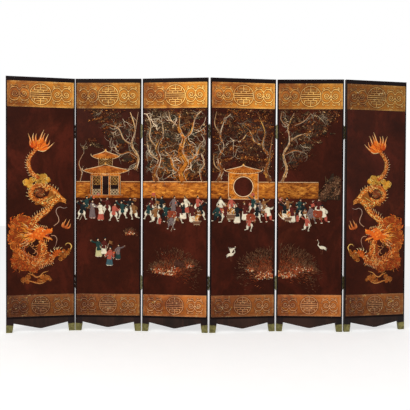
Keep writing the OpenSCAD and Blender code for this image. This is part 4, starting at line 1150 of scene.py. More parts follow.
class Foliage:
    """Leaves and blossoms of one picture, kept inside its field."""

    def __init__(self, pen):
        leaf, self.chance = pen.relief.leaf, pen.chance
        low, high = storeys(leaf, "gilt_bands")
        self.field = low[0], low[1], low[3], high[2]
        self.leaves, self.petals = Scatter(leaf), Scatter(leaf)

    def inside(self, x, z, margin=5):
        x0, x1, z0, z1 = self.field
        return x0 + margin < x < x1 - margin and z0 + margin < z < z1 - margin

    def leaf(self, x, z, turn, size, colours, out=0.0, thin=1.0):
        """One leaf; thin ones are blades of grass."""
        chance = self.chance
        if self.inside(x, z, 5 * size + 1):
            pick = min(int(chance.beta(1.1, 2.0) * len(colours)), len(colours) - 1)
            tone = chance.uniform(0.4, 1.5)
            self.leaves.put(x, z, out, turn, (size, min(size, 1.8), size * thin), toned(colours[pick], tone))

    def drift(self, x, z, wide, tall, turn, colours, count, size, out=0.0):
        """A ragged drift of leaves, denser towards its middle, that lean the way the drift does."""
        chance = self.chance
        c, s = cos(radians(turn)), sin(radians(turn))
        for _ in range(count):
            along, across = chance.normal(0, 0.45, 2) * (wide, tall)
            self.leaf(x + c * along - s * across, z + s * along + c * across, turn + chance.normal(0, 42),
                size * (chance.beta(1.4, 2.2) * 1.7 + 0.5), colours, out)

    def blossom(self, x, z, out, size, colour):
        if self.inside(x, z, 6):
            self.petals.put(x, z, out, self.chance.uniform(0, 360), size, colour)


def leaf_shape():
    """A pointed leaf 8 mm long with a raised rib."""
    rim = [(-3.6, 0, 0), (-1.0, 0, 1.5), (2.2, 0, 1.1), (4.4, 0, 0), (2.2, 0, -1.1), (-1.0, 0, -1.5)]
    ridge = [(-1.4, -1.0, 0), (1.6, -0.9, 0)]
    faces = [(0, 1, 2, 3, 4, 5), (0, 6, 1), (1, 6, 7, 2), (2, 7, 3), (3, 7, 4), (4, 7, 6, 5), (5, 6, 0)]
    mesh = bpy.data.meshes.new("shape")
    mesh.from_pydata(np.array(rim + ridge) * MM, [], faces)
    return mesh


def petal_shape():
    return small_shape(lambda pen: pen.dome(0, 0, 4, WHITE, 1.4, lobes=5, depth=0.22, sides=15))


def beside(points, widths, share, count=9):
    """A line that runs beside a smooth line, at a share of its half-width to the left."""
    place, tangent = smooth_line(points, count)
    half = spread(widths, count + 1) * share
    return place + leftward(tangent) * half[:, None]


def bough(pen, foliage, points, widths, bark, twig):
    """A trunk or branch with light edges, gold ridges, dark clefts and a few bare twigs."""
    chance = pen.chance
    points = [p for p in points if foliage.inside(*p, margin=3)]
    if len(points) < 2:
        return
    rise = 2.1 + min(max(widths) * 0.02, 0.4)
    if max(widths) > 10:
        place = smooth_line(points, 5 * len(points))[0]
        for spot, half in zip(place[1:-1], spread(widths, len(place))[1:-1]):
            crag(pen, *spot, half * chance.uniform(0.8, 1.5), bark)
    pen.stroke(points, widths, bark, rise, section=6)
    if max(widths) > 6:
        for share in (-0.6, -0.2, 0.2, 0.6):
            line = beside(points, widths, share + chance.uniform(-0.1, 0.1), 12)
            for k in range(0, 10, 3):
                tone = (rgb("f0b85c"), INK, rgb("5a2c14"), CREAM)[chance.integers(4)]
                pen.line(line[k:k + 4], [0.5, chance.uniform(1.4, 3.2), 0.5], tone, rise * 1.1)
    side = chance.choice((-1, 1))
    pen.line(beside(points, widths, side * 0.95), [1.3, 1.6, 0.8], twig, rise * 1.05)
    place, tangent = smooth_line(points, len(points))
    for k in range(1, len(place)):
        heading = degrees(atan2(tangent[k, 1], tangent[k, 0]))
        heading += chance.choice((-1, 1)) * chance.uniform(35, 75)
        jagged(pen, foliage, *place[k], heading, chance.uniform(60, 100),
            toned(twig, chance.uniform(0.4, 0.9)), 1.5)


def crag(pen, x, z, half, bark):
    """A knob of old bark: a ragged swelling with a dark cleft and a light edge."""
    chance = pen.chance
    angles = np.linspace(0, 2 * pi, 9, endpoint=False)
    reach = half * chance.uniform(0.65, 1.15, 9)
    outline = np.column_stack([np.cos(angles), np.sin(angles) * 1.15]) * reach[:, None]
    pen.blob(outline + (x, z), toned(bark[chance.integers(2)], chance.uniform(0.7, 1.3)), 1.9, 2.5)
    for paint, far in ((INK, 0.5), (CREAM, 0.9)):
        turns = chance.uniform(0, 6) + np.arange(3) * 0.7
        arc = [(x + cos(turn) * half * far, z + sin(turn) * half * far) for turn in turns]
        pen.line(arc, [0.6, 1.6, 0.6], paint, 2.2)


def jagged(pen, foliage, x, z, angle, reach, paint, half, forks=2):
    """A bare branch that turns sharply several times and forks."""
    chance = pen.chance
    line = [(x, z)]
    for _ in range(4):
        angle += chance.uniform(-55, 55)
        step = reach * chance.uniform(0.2, 0.34)
        spot = (line[-1][0] + cos(radians(angle)) * step, line[-1][1] + sin(radians(angle)) * step)
        if not foliage.inside(*spot, margin=6):
            break
        line.append(spot)
    if len(line) < 3:
        return
    pen.line(line, [half, half * 0.9, half * 0.3], paint, 2.3)
    for k in range(forks):
        turned = angle + chance.choice((-60, 60))
        jagged(pen, foliage, *line[1 + k], turned, reach * 0.5, paint, half * 0.7, forks=0)


# The heights of the trees' roots, behind the wall, and of the top of their crown
ROOTS, CROWN = 1086, 1625
# Trunks and branches of each leaf: their bark, half-widths from root to tip and the points they pass
BOUGHS = {
    2: [
        (PALE_BARK, (11, 9, 7, 5, 3), ((470, 1086), (436, 1170), (456, 1262), (410, 1352), (434, 1460),
            (398, 1588))),
        (BARK, (6, 5, 2), ((456, 1262), (392, 1300), (330, 1286), (268, 1322))),
        (PALE_BARK, (5, 4, 2), ((410, 1352), (352, 1392), (312, 1470), (244, 1496))),
        (BARK, (4, 3, 2), ((434, 1460), (468, 1520), (456, 1590))),
        (BARK, (5, 4, 2), ((30, 1086), (44, 1150), (24, 1220), (62, 1300))),
    ],
    3: [
        (BARK, (20, 15, 11, 7, 3), ((104, 1086), (90, 1160), (126, 1240), (104, 1330), (150, 1424),
            (138, 1530))),
        (GOLD_BARK, (30, 26, 22, 15, 10, 5), ((296, 1086), (276, 1150), (316, 1222), (276, 1300),
            (300, 1392), (262, 1480), (276, 1590))),
        (GOLD_BARK, (13, 9, 4), ((316, 1222), (384, 1262), (424, 1350), (468, 1380))),
        (GOLD_BARK, (11, 8, 3), ((276, 1150), (226, 1190), (206, 1262), (166, 1300))),
        (PALE_BARK, (7, 5, 2), ((126, 1240), (62, 1290), (34, 1364))),
        (GOLD_BARK, (9, 6, 3), ((300, 1392), (356, 1446), (380, 1540), (430, 1596))),
        (PALE_BARK, (6, 4, 2), ((104, 1330), (52, 1402), (60, 1500), (28, 1580))),
        (BARK, (8, 6, 3), ((440, 1086), (424, 1150), (452, 1214), (430, 1290))),
        (PALE_BARK, (5, 4, 2), ((262, 1480), (206, 1530), (190, 1596))),
    ],
    4: [
        (BARK, (15, 12, 9, 6, 3), ((52, 1086), (82, 1160), (56, 1244), (92, 1334), (70, 1430), (106, 1540))),
        (BARK, (16, 13, 9, 6, 3), ((436, 1086), (404, 1172), (428, 1262), (380, 1352), (398, 1450),
            (350, 1566))),
        (RUSSET[:3], (7, 5, 2), ((92, 1334), (158, 1384), (216, 1376), (262, 1430))),
        (BARK, (7, 5, 2), ((380, 1352), (318, 1380), (286, 1450), (230, 1500))),
        (PALE_BARK, (5, 4, 2), ((82, 1160), (30, 1206), (22, 1290))),
        (PALE_BARK, (5, 3, 2), ((70, 1430), (30, 1500), (44, 1590))),
        (BARK, (6, 4, 2), ((428, 1262), (466, 1330), (452, 1420))),
    ],
    5: [
        (PALE_BARK, (11, 9, 7, 5, 3), ((36, 1086), (70, 1180), (46, 1284), (92, 1382), (78, 1484),
            (122, 1588))),
        (BARK, (6, 5, 2), ((46, 1284), (128, 1318), (196, 1300))),
        (PALE_BARK, (6, 4, 2), ((92, 1382), (160, 1426), (252, 1436))),
        (BARK, (5, 3, 2), ((78, 1484), (28, 1540), (34, 1596))),
        (BARK, (5, 4, 2), ((122, 1500), (190, 1530), (240, 1586))),
    ],
}
# The lowest height of each leaf's canopy along its width, the number of its drifts and their colours
CANOPIES = {
    2: (
        ((0, 1640), (90, 1600), (180, 1520), (236, 1400), (300, 1290), (380, 1190), (478, 1130)), 110,
        (PINE, GREY_LEAF, RUSSET, UMBER, MAPLE),
    ),
    3: (
        ((0, 1110), (120, 1130), (240, 1100), (360, 1120), (478, 1090)), 230,
        (PINE, GREY_LEAF, PINE, GREY_LEAF, MAPLE),
    ),
    4: (
        ((0, 1130), (110, 1180), (240, 1240), (350, 1180), (478, 1110)), 260,
        (RUSSET, UMBER, PINE, MAPLE, UMBER),
    ),
    5: (
        ((0, 1150), (130, 1180), (230, 1270), (320, 1400), (400, 1540), (478, 1650)), 170,
        (GREY_LEAF, UMBER, RUSSET, PINE, RUSSET),
    ),
}
# The soft dark pads under each leaf's drifts, painted shade under the foliage
SHADES = {
    2: palette("3a2216 4a2c1a 302418"),
    3: palette("403426 603c20 322e22"),
    4: palette("3c1c10 4c2210 362016"),
    5: palette("3a281c 4e2a18 32261a"),
}
# How light the edges of the trunks and the bare branches of each leaf are
TRUNK_LIGHT = {2: 0.8, 3: 1.0, 4: 0.3, 5: 0.6}
TWIG_LIGHT = {2: (0.3, 0.6, 1.2), 3: (0.35, 0.65, 1.35), 4: (0.12, 0.25, 0.6), 5: (0.15, 0.35, 0.8)}
# Single sprays away from the canopy: x, z, width, height, turn, leaves and their number
SPRIGS = {
    2: [
        (150, 1540, 60, 8, 12, MAPLE, 70), (210, 1560, 50, 14, 18, RUSSET, 90),
        (120, 1384, 44, 14, 0, RUSSET, 90), (150, 1350, 50, 16, -14, GREY_LEAF, 110),
        (70, 1330, 26, 12, 30, GREY_LEAF, 50), (230, 1480, 50, 10, 16, MAPLE, 60),
    ],
    3: [
        (250, 1210, 46, 60, 80, MAPLE, 200), (200, 1300, 40, 40, 60, MAPLE, 150),
        (360, 1330, 50, 20, 40, MAPLE, 120),
    ],
    4: [
        (300, 1440, 44, 26, 20, MAPLE, 200), (270, 1260, 50, 16, -8, MAPLE, 150),
        (350, 1530, 60, 8, 4, MAPLE, 70), (130, 1250, 50, 10, 20, MAPLE, 70),
    ],
    5: [
        (260, 1540, 60, 7, 24, RUSSET, 60), (330, 1500, 44, 5, 10, GREY_LEAF, 30),
        (280, 1380, 54, 10, -10, GREY_LEAF, 60), (210, 1440, 50, 12, 30, MAPLE, 60),
        (400, 1440, 30, 4, 6, GREY_LEAF, 18), (350, 1420, 40, 4, -12, RUSSET, 22),
    ],
}


def trees(pen, foliage, number):
    """The boughs of one leaf under a canopy of drifting leaves, with pale bare branches over it."""
    chance = pen.chance
    limits, drifts, palettes = CANOPIES[number]
    lows = np.array(limits, float)

    def spot(margin):
        x = chance.uniform(8, 470)
        low = min(np.interp(x, lows[:, 0], lows[:, 1]) + margin, CROWN)
        return x, chance.uniform(low, CROWN), low

    # Dark pads of painted shade under the canopy
    for k in range(int(drifts * 0.7)):
        x, z, low = spot(26)
        wide = chance.uniform(18, 44)
        if foliage.inside(x, z, wide * 1.25):
            pen.dome(x, z, wide, SHADES[number][k % 3], 0.6 + 0.04 * (k % 5), tall=0.45,
                turn=chance.uniform(-30, 30), lobes=7, depth=0.22, edge=0.8)
    for _ in range(drifts):
        x, z, low = spot(0)
        if low < 1600:
            thin = 0.35 + 0.65 * min(1, (z - low) / 90)
            foliage.drift(x, z, chance.uniform(20, 64), chance.uniform(6, 20), chance.uniform(-40, 40),
                palettes[chance.integers(len(palettes))], int(chance.uniform(26, 62) * thin),
                chance.uniform(0.8, 1.9))
    for x, z, wide, tall, turn, colours, count in SPRIGS[number]:
        foliage.drift(x, z, wide, tall, turn, colours, count, 1.5, 0.5)
    if number == 3:
        barks = (*GOLD_BARK[:2], BARK[0], rgb("603618"), CREAM)
        for k in range(190):
            x, z = chance.normal((296, 1190), (62, 84))
            if foliage.inside(x, z, 52) and z > ROOTS:
                lick(pen, x, z, chance.normal(90, 60), chance.uniform(16, 50), chance.uniform(1.5, 5.5),
                    barks[chance.choice(5, p=(0.3, 0.26, 0.2, 0.16, 0.08))], 1.5 + 0.1 * (k % 4))
    for bark, widths, points in BOUGHS[number]:
        bough(pen, foliage, points, widths, bark, toned(CREAM, TRUNK_LIGHT[number]))
    for _ in range({2: 15, 3: 36, 4: 13, 5: 13}[number]):
        x, z, low = spot(30)
        if low < 1560:
            jagged(pen, foliage, x, z, chance.choice((-85, -70, 10, 170)), chance.uniform(70, 170),
                toned(CREAM, chance.choice(TWIG_LIGHT[number])), chance.uniform(1.2, 2.8))


# ---- Walls and buildings -------------------------------------------------------------------

WALL_GOLD = rgb("b8722c")
WALL_DEEP = rgb("763814")
WALL_HEAT = {2: [(0, 0.96, 0.86, 0.7)], 3: [(0, 1.3, 1.25, 1.15)], 4: [(0, 1.1, 1.0, 0.85)]}
COPING = rgb("f0c89c")
ROOF = rgb("b46a2a")
POST = rgb("c47a2e")
SHADOW = rgb("220e0c")


def wall(pen, x0, x1, z, tall=114):
    """A gilt garden wall with a tiled coping and clouded panels."""
    pen.blob(box(x0, x1, z, z + tall), WALL_GOLD, 1.1, 1.2)
    top = pen.moved(lift=1.0)
    top.line([(x0 + 1, z + tall + 4), (x1 - 1, z + tall + 4)], 2.6, COPING, 1.2, step=30)
    top.line([(x0 + 1, z + tall - 6), (x1 - 1, z + tall - 6)], 1.0, WALL_DEEP, 0.5, step=30)
    top.line([(x0 + 1, z + 5), (x1 - 1, z + 5)], 1.6, WALL_DEEP, 0.6, step=30)
    x = x0 + 4
    while x < x1 - 6:
        top.dome(x, z + tall + 0.5, 3.6, WALL_DEEP, 0.9, edge=0.7)
        x += 9
    chance = pen.chance
    for _ in range(int((x1 - x0) / 9)):
        ax, az = chance.uniform(x0 + 10, max(x0 + 11, x1 - 34)), chance.uniform(z + 14, z + tall - 16)
        bend, reach = chance.uniform(-6, 6), min(chance.uniform(14, 40), x1 - ax - 4)
        tone = (rgb("e8a448"), WALL_DEEP, rgb("de9438"))[chance.integers(3)]
        top.line([(ax, az), (ax + reach * 0.5, az + bend), (ax + reach, az)],
            [0.8, chance.uniform(2, 5), 0.8], tone, 0.4)


def eave(pen, wide, tall, tiles=13, rise=2.3):
    """A tiled roof with upturned corners, its ridge, its tile rows and its end ornaments."""
    u = np.linspace(-1, 1, 17)
    foot = np.column_stack([u * wide / 2, tall * 0.34 * np.abs(u) ** 3])
    head = np.column_stack([u * wide * 0.46, tall * (1 - np.abs(u) ** 0.7 * 0.55)])[::-1]
    pen.blob(np.vstack([foot, head]), ROOF, rise * 0.72, 2)
    for k in range(tiles):
        share = -0.94 + 1.88 * k / (tiles - 1)
        low = (share * wide / 2 * 0.97, tall * 0.34 * abs(share) ** 3 + 4)
        high = (share * wide * 0.38, tall * (1 - abs(share) ** 0.7 * 0.55) - 4)
        middle = ((low[0] + high[0]) / 2, (low[1] + high[1]) / 2 - tall * 0.03)
        pen.line([low, middle, high], [2.4, 2.0, 1.5], [rgb("ecb056"), ROOF], rise * 0.92)
        pen.dome(*low, 3.4, rgb("f2c470"), rise=rise)
    pen.line(foot, [1.6, 2.8, 1.6], CREAM, rise)
    pen.stroke(head, [2, 3.8, 2], CREAM, rise)
    for side in (-1, 1):
        tip = pen.moved(side * wide / 2, tall * 0.34, side=side)
        tip.line([(-8, -1), (4, 5), (7, 14), (2, 18)], [2.6, 2.4, 2, 0.8], CREAM, rise)
    pen.dome(0, tall + 2, tall * 0.13, rgb("f0be6e"), rise, tall=1.5)


def lattice(pen, x0, x1, z0, z1, across, up, paint=CREAM, rise=1.5):
    """A fret of crossing bars with small squares, in a frame."""
    for k in range(across + 1):
        x = x0 + (x1 - x0) * k / across
        pen.line([(x, z0), (x, z1)], 1.1, paint, rise, step=40)
    for k in range(up + 1):
        z = z0 + (z1 - z0) * k / up
        pen.line([(x0, z), (x1, z)], 1.1, paint, rise, step=40)
    for i in range(across):
        for k in range(up):
            if (i + k) % 2 == 0:
                pen.dome(x0 + (x1 - x0) * (i + 0.5) / across, z0 + (z1 - z0) * (k + 0.5) / up,
                    min((x1 - x0) / across, (z1 - z0) / up) * 0.3, paint, rise)


def post(pen, x, z0, z1, half=6, paint=POST):
    pen.blob(box(x - half, x + half, z0, z1), paint, 1.9, 2.2)
    for side in (-1, 1):
        pen.line([(x + side * half, z0), (x + side * half, z1)], 1.6, CREAM, 2.1, step=40)


def pavilion(pen):
    """A garden pavilion of two storeys, 250 mm wide at its terrace."""
    pen.blob(box(0, 250, 0, 22), rgb("be7028"), 1.5, 2)
    pen.blob(box(20, 230, 20, 172), SHADOW, 0.5, 1)
    for z in (3, 12, 21):
        pen.line([(-3, z), (253, z)], 1.3, CREAM if z > 20 else WALL_DEEP, 1.9, step=40)
    lattice(pen, 30, 94, 96, 156, 6, 5, rgb("d6a864"))
    lattice(pen, 156, 220, 96, 156, 6, 5, rgb("d6a864"))
    lattice(pen, 26, 94, 26, 62, 6, 3)
    lattice(pen, 156, 224, 26, 62, 6, 3)
    for x in (24, 96, 154, 226):
        post(pen, x, 20, 172)
    pen.blob(box(16, 234, 158, 178), rgb("ce7c2c"), 1.9, 2)
    for z in (160, 176):
        pen.line([(16, z), (234, z)], 1.1, CREAM, 2.2, step=40)
    for k in range(11):
        pen.dome(28 + k * 19.4, 168, 4, rgb("f0c474"), 2.3)
    eave(pen.moved(125, 172), 330, 74, 17)
    pen.blob(box(75, 175, 232, 286), SHADOW, 1.9, 1)
    lattice(pen, 84, 166, 240, 278, 8, 4, rgb("deb26c"), rise=2.3)
    for x in (79, 171):
        post(pen, x, 232, 286, 4)
    eave(pen.moved(125, 280), 200, 62, 11)


def moon_gate(pen):
    """A wall with a round doorway under a tiled roof, 220 mm wide."""
    arc = np.radians(np.linspace(90, 270, 17))
    for side in (-1, 1):
        part = pen.moved(side=side)
        edge = np.column_stack([-np.cos(arc) * 72, 92 - np.sin(arc) * 72])
        edge = edge[edge[:, 1].argsort()]
        outline = [(0, 0), (110, 0), (110, 190), (0, 190)] + [tuple(p) for p in edge[::-1]]
        part.blob(outline, rgb("d0822e"), 1.5, 1.5)
        part.line([(108, 2), (108, 188)], 2.4, CREAM, 2.0, step=40)
        for z in (24, 150, 172):
            part.line([(92 if z < 150 else 40, z), (106, z)], 1.2, WALL_DEEP, 1.8)
        part.moved(86, 152).line(coil(12, 1.2, 90), [2, 2, 1.2], rgb("f4c878"), 1.9)
        part.moved(88, 28).line(coil(11, 1.2, 200), [2, 2, 1.2], rgb("f4c878"), 1.9)
    for radius, half, paint in ((72, 3.2, CREAM), (79, 1.4, WALL_DEEP), (84, 1.2, rgb("f0c474"))):
        ring = coil(radius, 1, shrink=1, count=33) + (0, 92)
        pen.stroke(ring, half, paint, 2.1)
    pen.line([(-112, 3), (112, 3)], 2.4, CREAM, 2.0, step=40)
    eave(pen.moved(0, 186), 270, 60, 15)


def rock(pen, wide, tall, paint, light):
    """A pierced garden rock: jagged shoulders, hollows and light veins."""
    chance = pen.chance
    outline, steps = [], 15
    for k in range(steps):
        angle = pi * k / (steps - 1)
        reach = chance.uniform(0.78, 1.08)
        outline.append((cos(angle) * wide / 2 * reach, sin(angle) ** 0.7 * tall * reach))
    outline += [(-wide * 0.3, -4), (0, 0), (wide * 0.3, -4)]
    pen.swell(outline, paint, 1.7, 5)
    for _ in range(int(wide * tall / 800)):
        x = chance.uniform(-wide * 0.36, wide * 0.36)
        z = chance.uniform(tall * 0.08, tall * 0.75)
        vein = [(x, z), (x + chance.uniform(-8, 8), z + 10),
            (x + chance.uniform(-12, 12), z + chance.uniform(18, 34))]
        pen.line(vein, [1, 2.4, 0.8], [light], 2.1)
        pen.dome(x + chance.uniform(-14, 14), z + chance.uniform(-8, 8), chance.uniform(3, 7), INK, 2.0,
            edge=1)


# ---- Figures -------------------------------------------------------------------------------

SKIN = rgb("e4c29e")
HAIR = rgb("1a1212")
IVORY = rgb("f6ecd2")
CORAL = rgb("be5c4a")
TEAL = rgb("223e3c")
NAVY = rgb("181e20")
WINE = rgb("58201a")
OCHRE = rgb("926238")
LILAC = rgb("7a6a68")


def face(pen, x, z, cap):
    """A small plain face in three-quarter view, with a knot of hair or a soft cap."""
    head = pen.moved(x, z)
    head.dome(-2.4, 4.2, 6.8, HAIR, 2.7, edge=0.8)
    if cap is None:
        head.dome(-4.6, 11, 3.8, HAIR, 2.6, edge=0.8)
    else:
        head.blob([(-9, 4), (8, 6), (5, 14), (-6, 14)], cap, 2.9, 2)
    head.dome(0.9, 0, 5.4, SKIN, 2.9, tall=1.16)
    for side in (-1, 1):
        head.line([(1.4 + side * 2 - 0.8, 1), (1.4 + side * 2 + 0.8, 1)], 0.4, INK, 3.1)
    head.line([(0.8, -3), (2.2, -3)], 0.4, rgb("b0463c"), 3.1)


def sleeve(pen, path, half, paint, trim):
    """A wide sleeve that opens towards the hand."""
    pen.stroke(path, [half * 0.8, half, half * 1.1], paint, 2.4)
    (ax, az), (bx, bz) = path[-2], path[-1]
    run = np.array([bx - ax, bz - az]) / hypot(bx - ax, bz - az)
    across = np.array([-run[1], run[0]]) * half
    end = np.array([bx, bz]) - run
    pen.line([tuple(end - across), tuple(end + across)], 1.1, trim, 2.6)
    pen.dome(bx + run[0] * 4, bz + run[1] * 4, 2.8, SKIN, 2.6)


ARMS = {
    "up": ([(9, 82), (25, 92), (33, 108)], [(-9, 82), (-23, 74), (-34, 80)]),
    "out": ([(9, 82), (25, 80), (39, 85)], [(-9, 82), (-21, 66), (-14, 55)]),
    "bow": ([(9, 82), (23, 70), (35, 73)], [(-8, 80), (8, 66), (27, 66)]),
    "down": ([(9, 80), (19, 63), (24, 50)], [(-9, 80), (-20, 62), (-23, 48)]),
    "back": ([(9, 80), (20, 66), (14, 54)], [(-9, 82), (-25, 88), (-38, 98)]),
}


def figure(pen, coat, lower, pose, trim, arms, thing, cap):
    """A dressed figure about 118 mm tall, standing at its own origin and facing along x."""
    chance = pen.chance
    # The skirt or trousers darkened: painted shade in their folds and on the lower legs
    dark = toned(lower, 0.55)
    if pose == "stand":
        pen.swell([(-19, 3), (-6, 0), (9, 0), (21, 4), (16, 30), (12, 58), (-12, 58), (-17, 28)], lower, 1.7,
            4)
        for x in (-12, -6, 1, 7, 14):
            pen.line([(x, 4), (x * 0.8, 30), (x * 0.5, 54)], [0.8, 1.3, 0.8], dark, 1.95)
        pen.line([(-19, 4), (-4, 1), (20, 5)], 1.3, trim, 2.0)
        feet = ((-6, 0), (9, 0))
    else:
        feet = ((-25, 4), (25, 0)) if pose == "stride" else ((-30, 8), (12, 0))
        knees = ((-15, 24), (15, 26)) if pose == "stride" else ((-12, 14), (20, 30))
        for (kx, kz), (fx, fz) in zip(knees, feet):
            pen.stroke([(kx * 0.2, 54), (kx * 0.9, (54 + kz) / 2), (kx, kz)], [10, 11, 7], lower, 1.9)
            pen.line([(kx, kz), (fx * 0.9, fz + 4)], [4.4, 3], [lower, dark], 1.6)
            pen.line([(kx * 0.3, 50), (kx * 0.9, kz + 4)], [0.8, 1.4, 0.6], dark, 2.1)
    for fx, fz in feet:
        pen.line([(fx - 4, fz + 1), (fx + 7, fz + 1)], [3.2, 2.2], IVORY, 1.8)
    body = pen.moved(0, 50, turn=chance.uniform(-14, 8)).moved(0, -50)
    body.swell([(-14, 38), (-4, 34), (14, 37), (12, 58), (14, 78), (8, 90), (-8, 90), (-14, 78), (-12, 58)],
        coat, 2.2, 4)
    body.line([(-12, 56), (0, 53), (12, 56)], 2.0, trim, 2.5)
    body.line([(6, 90), (-1, 76), (-5, 58)], [1.2, 1.5, 1], trim, 2.5)
    body.line([(4, 56), (8, 44), (5, 28)], [1.6, 1.8, 0.8], trim, 2.4)
    # Short marks on the coat: the trim colour above, and below it the coat darkened as painted shade in its
    # folds
    for _ in range(4):
        x, z = chance.uniform(-9, 9), chance.uniform(44, 84)
        body.line([(x, z), (x + 3, z - 7)], [0.5, 1.2, 0.4], trim if z > 70 else toned(coat, 0.5), 2.45)
    face(body, 1, 98, cap)
    front, rear = ARMS[arms]
    # The far sleeve is the coat darkened, as painted shade
    sleeve(body, rear, 6, toned(coat, 0.8), trim)
    sleeve(body, front, 6, coat, trim)
    hand = body.moved(*front[-1])
    if thing == "fan":
        hand.dome(3, 10, 8, IVORY, 2.4, tall=1.1)
        hand.line([(0, 0), (3, 10)], 1, OCHRE, 2.6)
    elif thing == "staff":
        hand.line([(-12, -62), (0, 0), (10, 44)], 1.1, CREAM, 2.0)
        hand.blob([(8, 44), (34, 38), (24, 30), (36, 20), (4, 24)], (CORAL, OCHRE)[chance.integers(2)], 2.1,
            2)
    elif thing == "kite":
        hand.line([(0, 0), (12, 14), (18, 26)], 0.6, CREAM, 1.2)
        kite = hand.moved(22, 36, 0.7, turn=20)
        kite.blob([(-16, 0), (0, -18), (16, 0), (0, 18)], CORAL, 1.8, 2)
        for a, b in (((-14, 0), (14, 0)), ((0, -16), (0, 16))):
            kite.line([a, b], 0.9, IVORY, 2.1)
        kite.line([(0, -18), (-8, -34), (4, -46)], [1.8, 1.4, 0.6], OCHRE, 1.6)
    elif thing == "lantern":
        hand.line([(0, 0), (8, 8), (14, 4)], 0.9, OCHRE, 2.2)
        hand.dome(14, -9, 7.5, rgb("ce5c38"), 2.3, tall=1.2)
        for z in (0, -18):
            hand.line([(10, z), (18, z)], 1.2, CREAM, 2.5)
    elif thing == "basket":
        hand.blob([(-12, -16), (10, -16), (13, -3), (-15, -3)], OCHRE, 2.5, 2)
        hand.line([(-14, -4), (-1, 8), (12, -4)], 1.2, OCHRE, 2.6)
        for k in range(5):
            hand.dome(-10 + k * 5, k % 2 * 3, 3, (CORAL, IVORY)[k % 2], 2.8)


def drum(pen):
    """A barrel drum on a low stand, with nails round its skins."""
    pen.swell([(-26, 14), (26, 14), (34, 36), (26, 58), (-26, 58), (-34, 36)], rgb("964228"), 2.2, 5)
    for x in (-24, 24):
        pen.line([(x, 15), (x * 1.2, 36), (x, 57)], 2.6, CREAM, 2.5)
        pen.line([(x * 0.9, 16), (x * 1.2, 0)], 2.6, OCHRE, 1.9)
    for k in range(5):
        pen.line([(-16 + 8 * k, 18), (-18 + 9 * k, 36), (-16 + 8 * k, 54)], 0.8, rgb("ce824e"), 2.5)
    pen.line([(-32, 8), (32, 8)], 2, OCHRE, 2)


def jar(pen):
    """A tall jar with a lid and a band of scrolls."""
    pen.swell([(-8, 0), (8, 0), (13, 20), (14, 36), (7, 48), (7, 54), (-7, 54), (-7, 48), (-14, 36),
        (-13, 20)], CORAL, 2.2, 4)
    for z, half in ((3, 8), (18, 12), (38, 12), (50, 8)):
        pen.line([(-half, z), (half, z)], 1.1, CREAM, 2.5)
    for x in (-6, 0, 6):
        pen.dome(x, 28, 2.4, toned(CORAL, 0.4), 2.5)


def tub(pen):
    """A low tub on feet with a golden bush in it."""
    chance = pen.chance
    for k in range(34):
        turn, reach = chance.uniform(20, 160), chance.uniform(22, 66)
        lick(pen, chance.uniform(-14, 14), 30, turn, reach, chance.uniform(1.5, 4),
            (rgb("ce7e30"), rgb("e8a854"), rgb("965422"), CREAM)[k % 4], 2.0 + 0.1 * (k % 3))
    pen.blob([(-20, 4), (20, 4), (28, 30), (-28, 30)], rgb("78543e"), 2.3, 4)
    for z, half in ((6, 20), (18, 24), (29, 29)):
        pen.line([(-half, z), (half, z)], 1.3, CREAM, 2.5)
    for x in (-16, 0, 16):
        pen.line([(x, 5), (x * 1.2, -2)], 2.4, OCHRE, 2)


THINGS = {
    3: ((drum, 216, 812, 1.1), (tub, 398, 772, 1.1), (jar, 128, 780, 0.9)),
    4: ((tub, 150, 812, 1.4), (drum, 296, 792, 1.1)),
    5: ((drum, 296, 816, 1.2), (jar, 150, 800, 0.9), (tub, 66, 800, 1.1)),
}
COATS = (NAVY, CORAL, TEAL, WINE, IVORY, OCHRE, NAVY, LILAC, TEAL, WINE)
LOWERS = (IVORY, IVORY, IVORY, LILAC, IVORY, IVORY, CORAL, IVORY, NAVY, IVORY)
TRIMS = (IVORY, CREAM, CORAL, IVORY, TEAL, IVORY, OCHRE)
POSES = ("stride", "stand", "stride", "crouch", "stride", "stand", "crouch")
HELD = ("fan", None, "staff", None, "basket", None, "lantern", None, None, "staff", None, "kite")


def figures_on(pen, number):
    """The people of one leaf, the ones behind first, and the things that they have brought."""
    chance = pen.chance
    for k, (x, z, tall, side, *dress) in enumerate(PEOPLE[number]):
        k += 3 * number
        pose = "stand" if tall > 128 else POSES[k * 3 % 7]
        drop = 10 if pose == "crouch" else 0
        coat, lower = dress or (COATS[k * 7 % 10], LOWERS[k * 3 % 10])
        with inside_leaf(pen.relief):
            figure(pen.moved(x, z - drop, tall / (100 if tall < 128 else 118), side), coat, lower, pose,
                TRIMS[k * 4 % 7], list(ARMS)[chance.integers(5)], HELD[k * 5 % 12],
                (None, None, NAVY, OCHRE)[chance.integers(4)])
    for draw, x, z, size in THINGS.get(number, ()):
        with inside_leaf(pen.relief):
            draw(pen.moved(x, z, size))


@contextlib.contextmanager
def inside_leaf(relief, margin=9):
    """Whatever is drawn within it is moved sideways as one, so that none of it hangs over the leaf's edge."""
    first = len(relief.points)
    yield
    drawn = relief.points[first:]
    low, high = min(points[:, 0].min() for points in drawn), max(points[:, 0].max() for points in drawn)
    shift = max(0, margin - low) + min(0, relief.leaf.width - margin - high)
    for points in drawn:
        points[:, 0] += shift


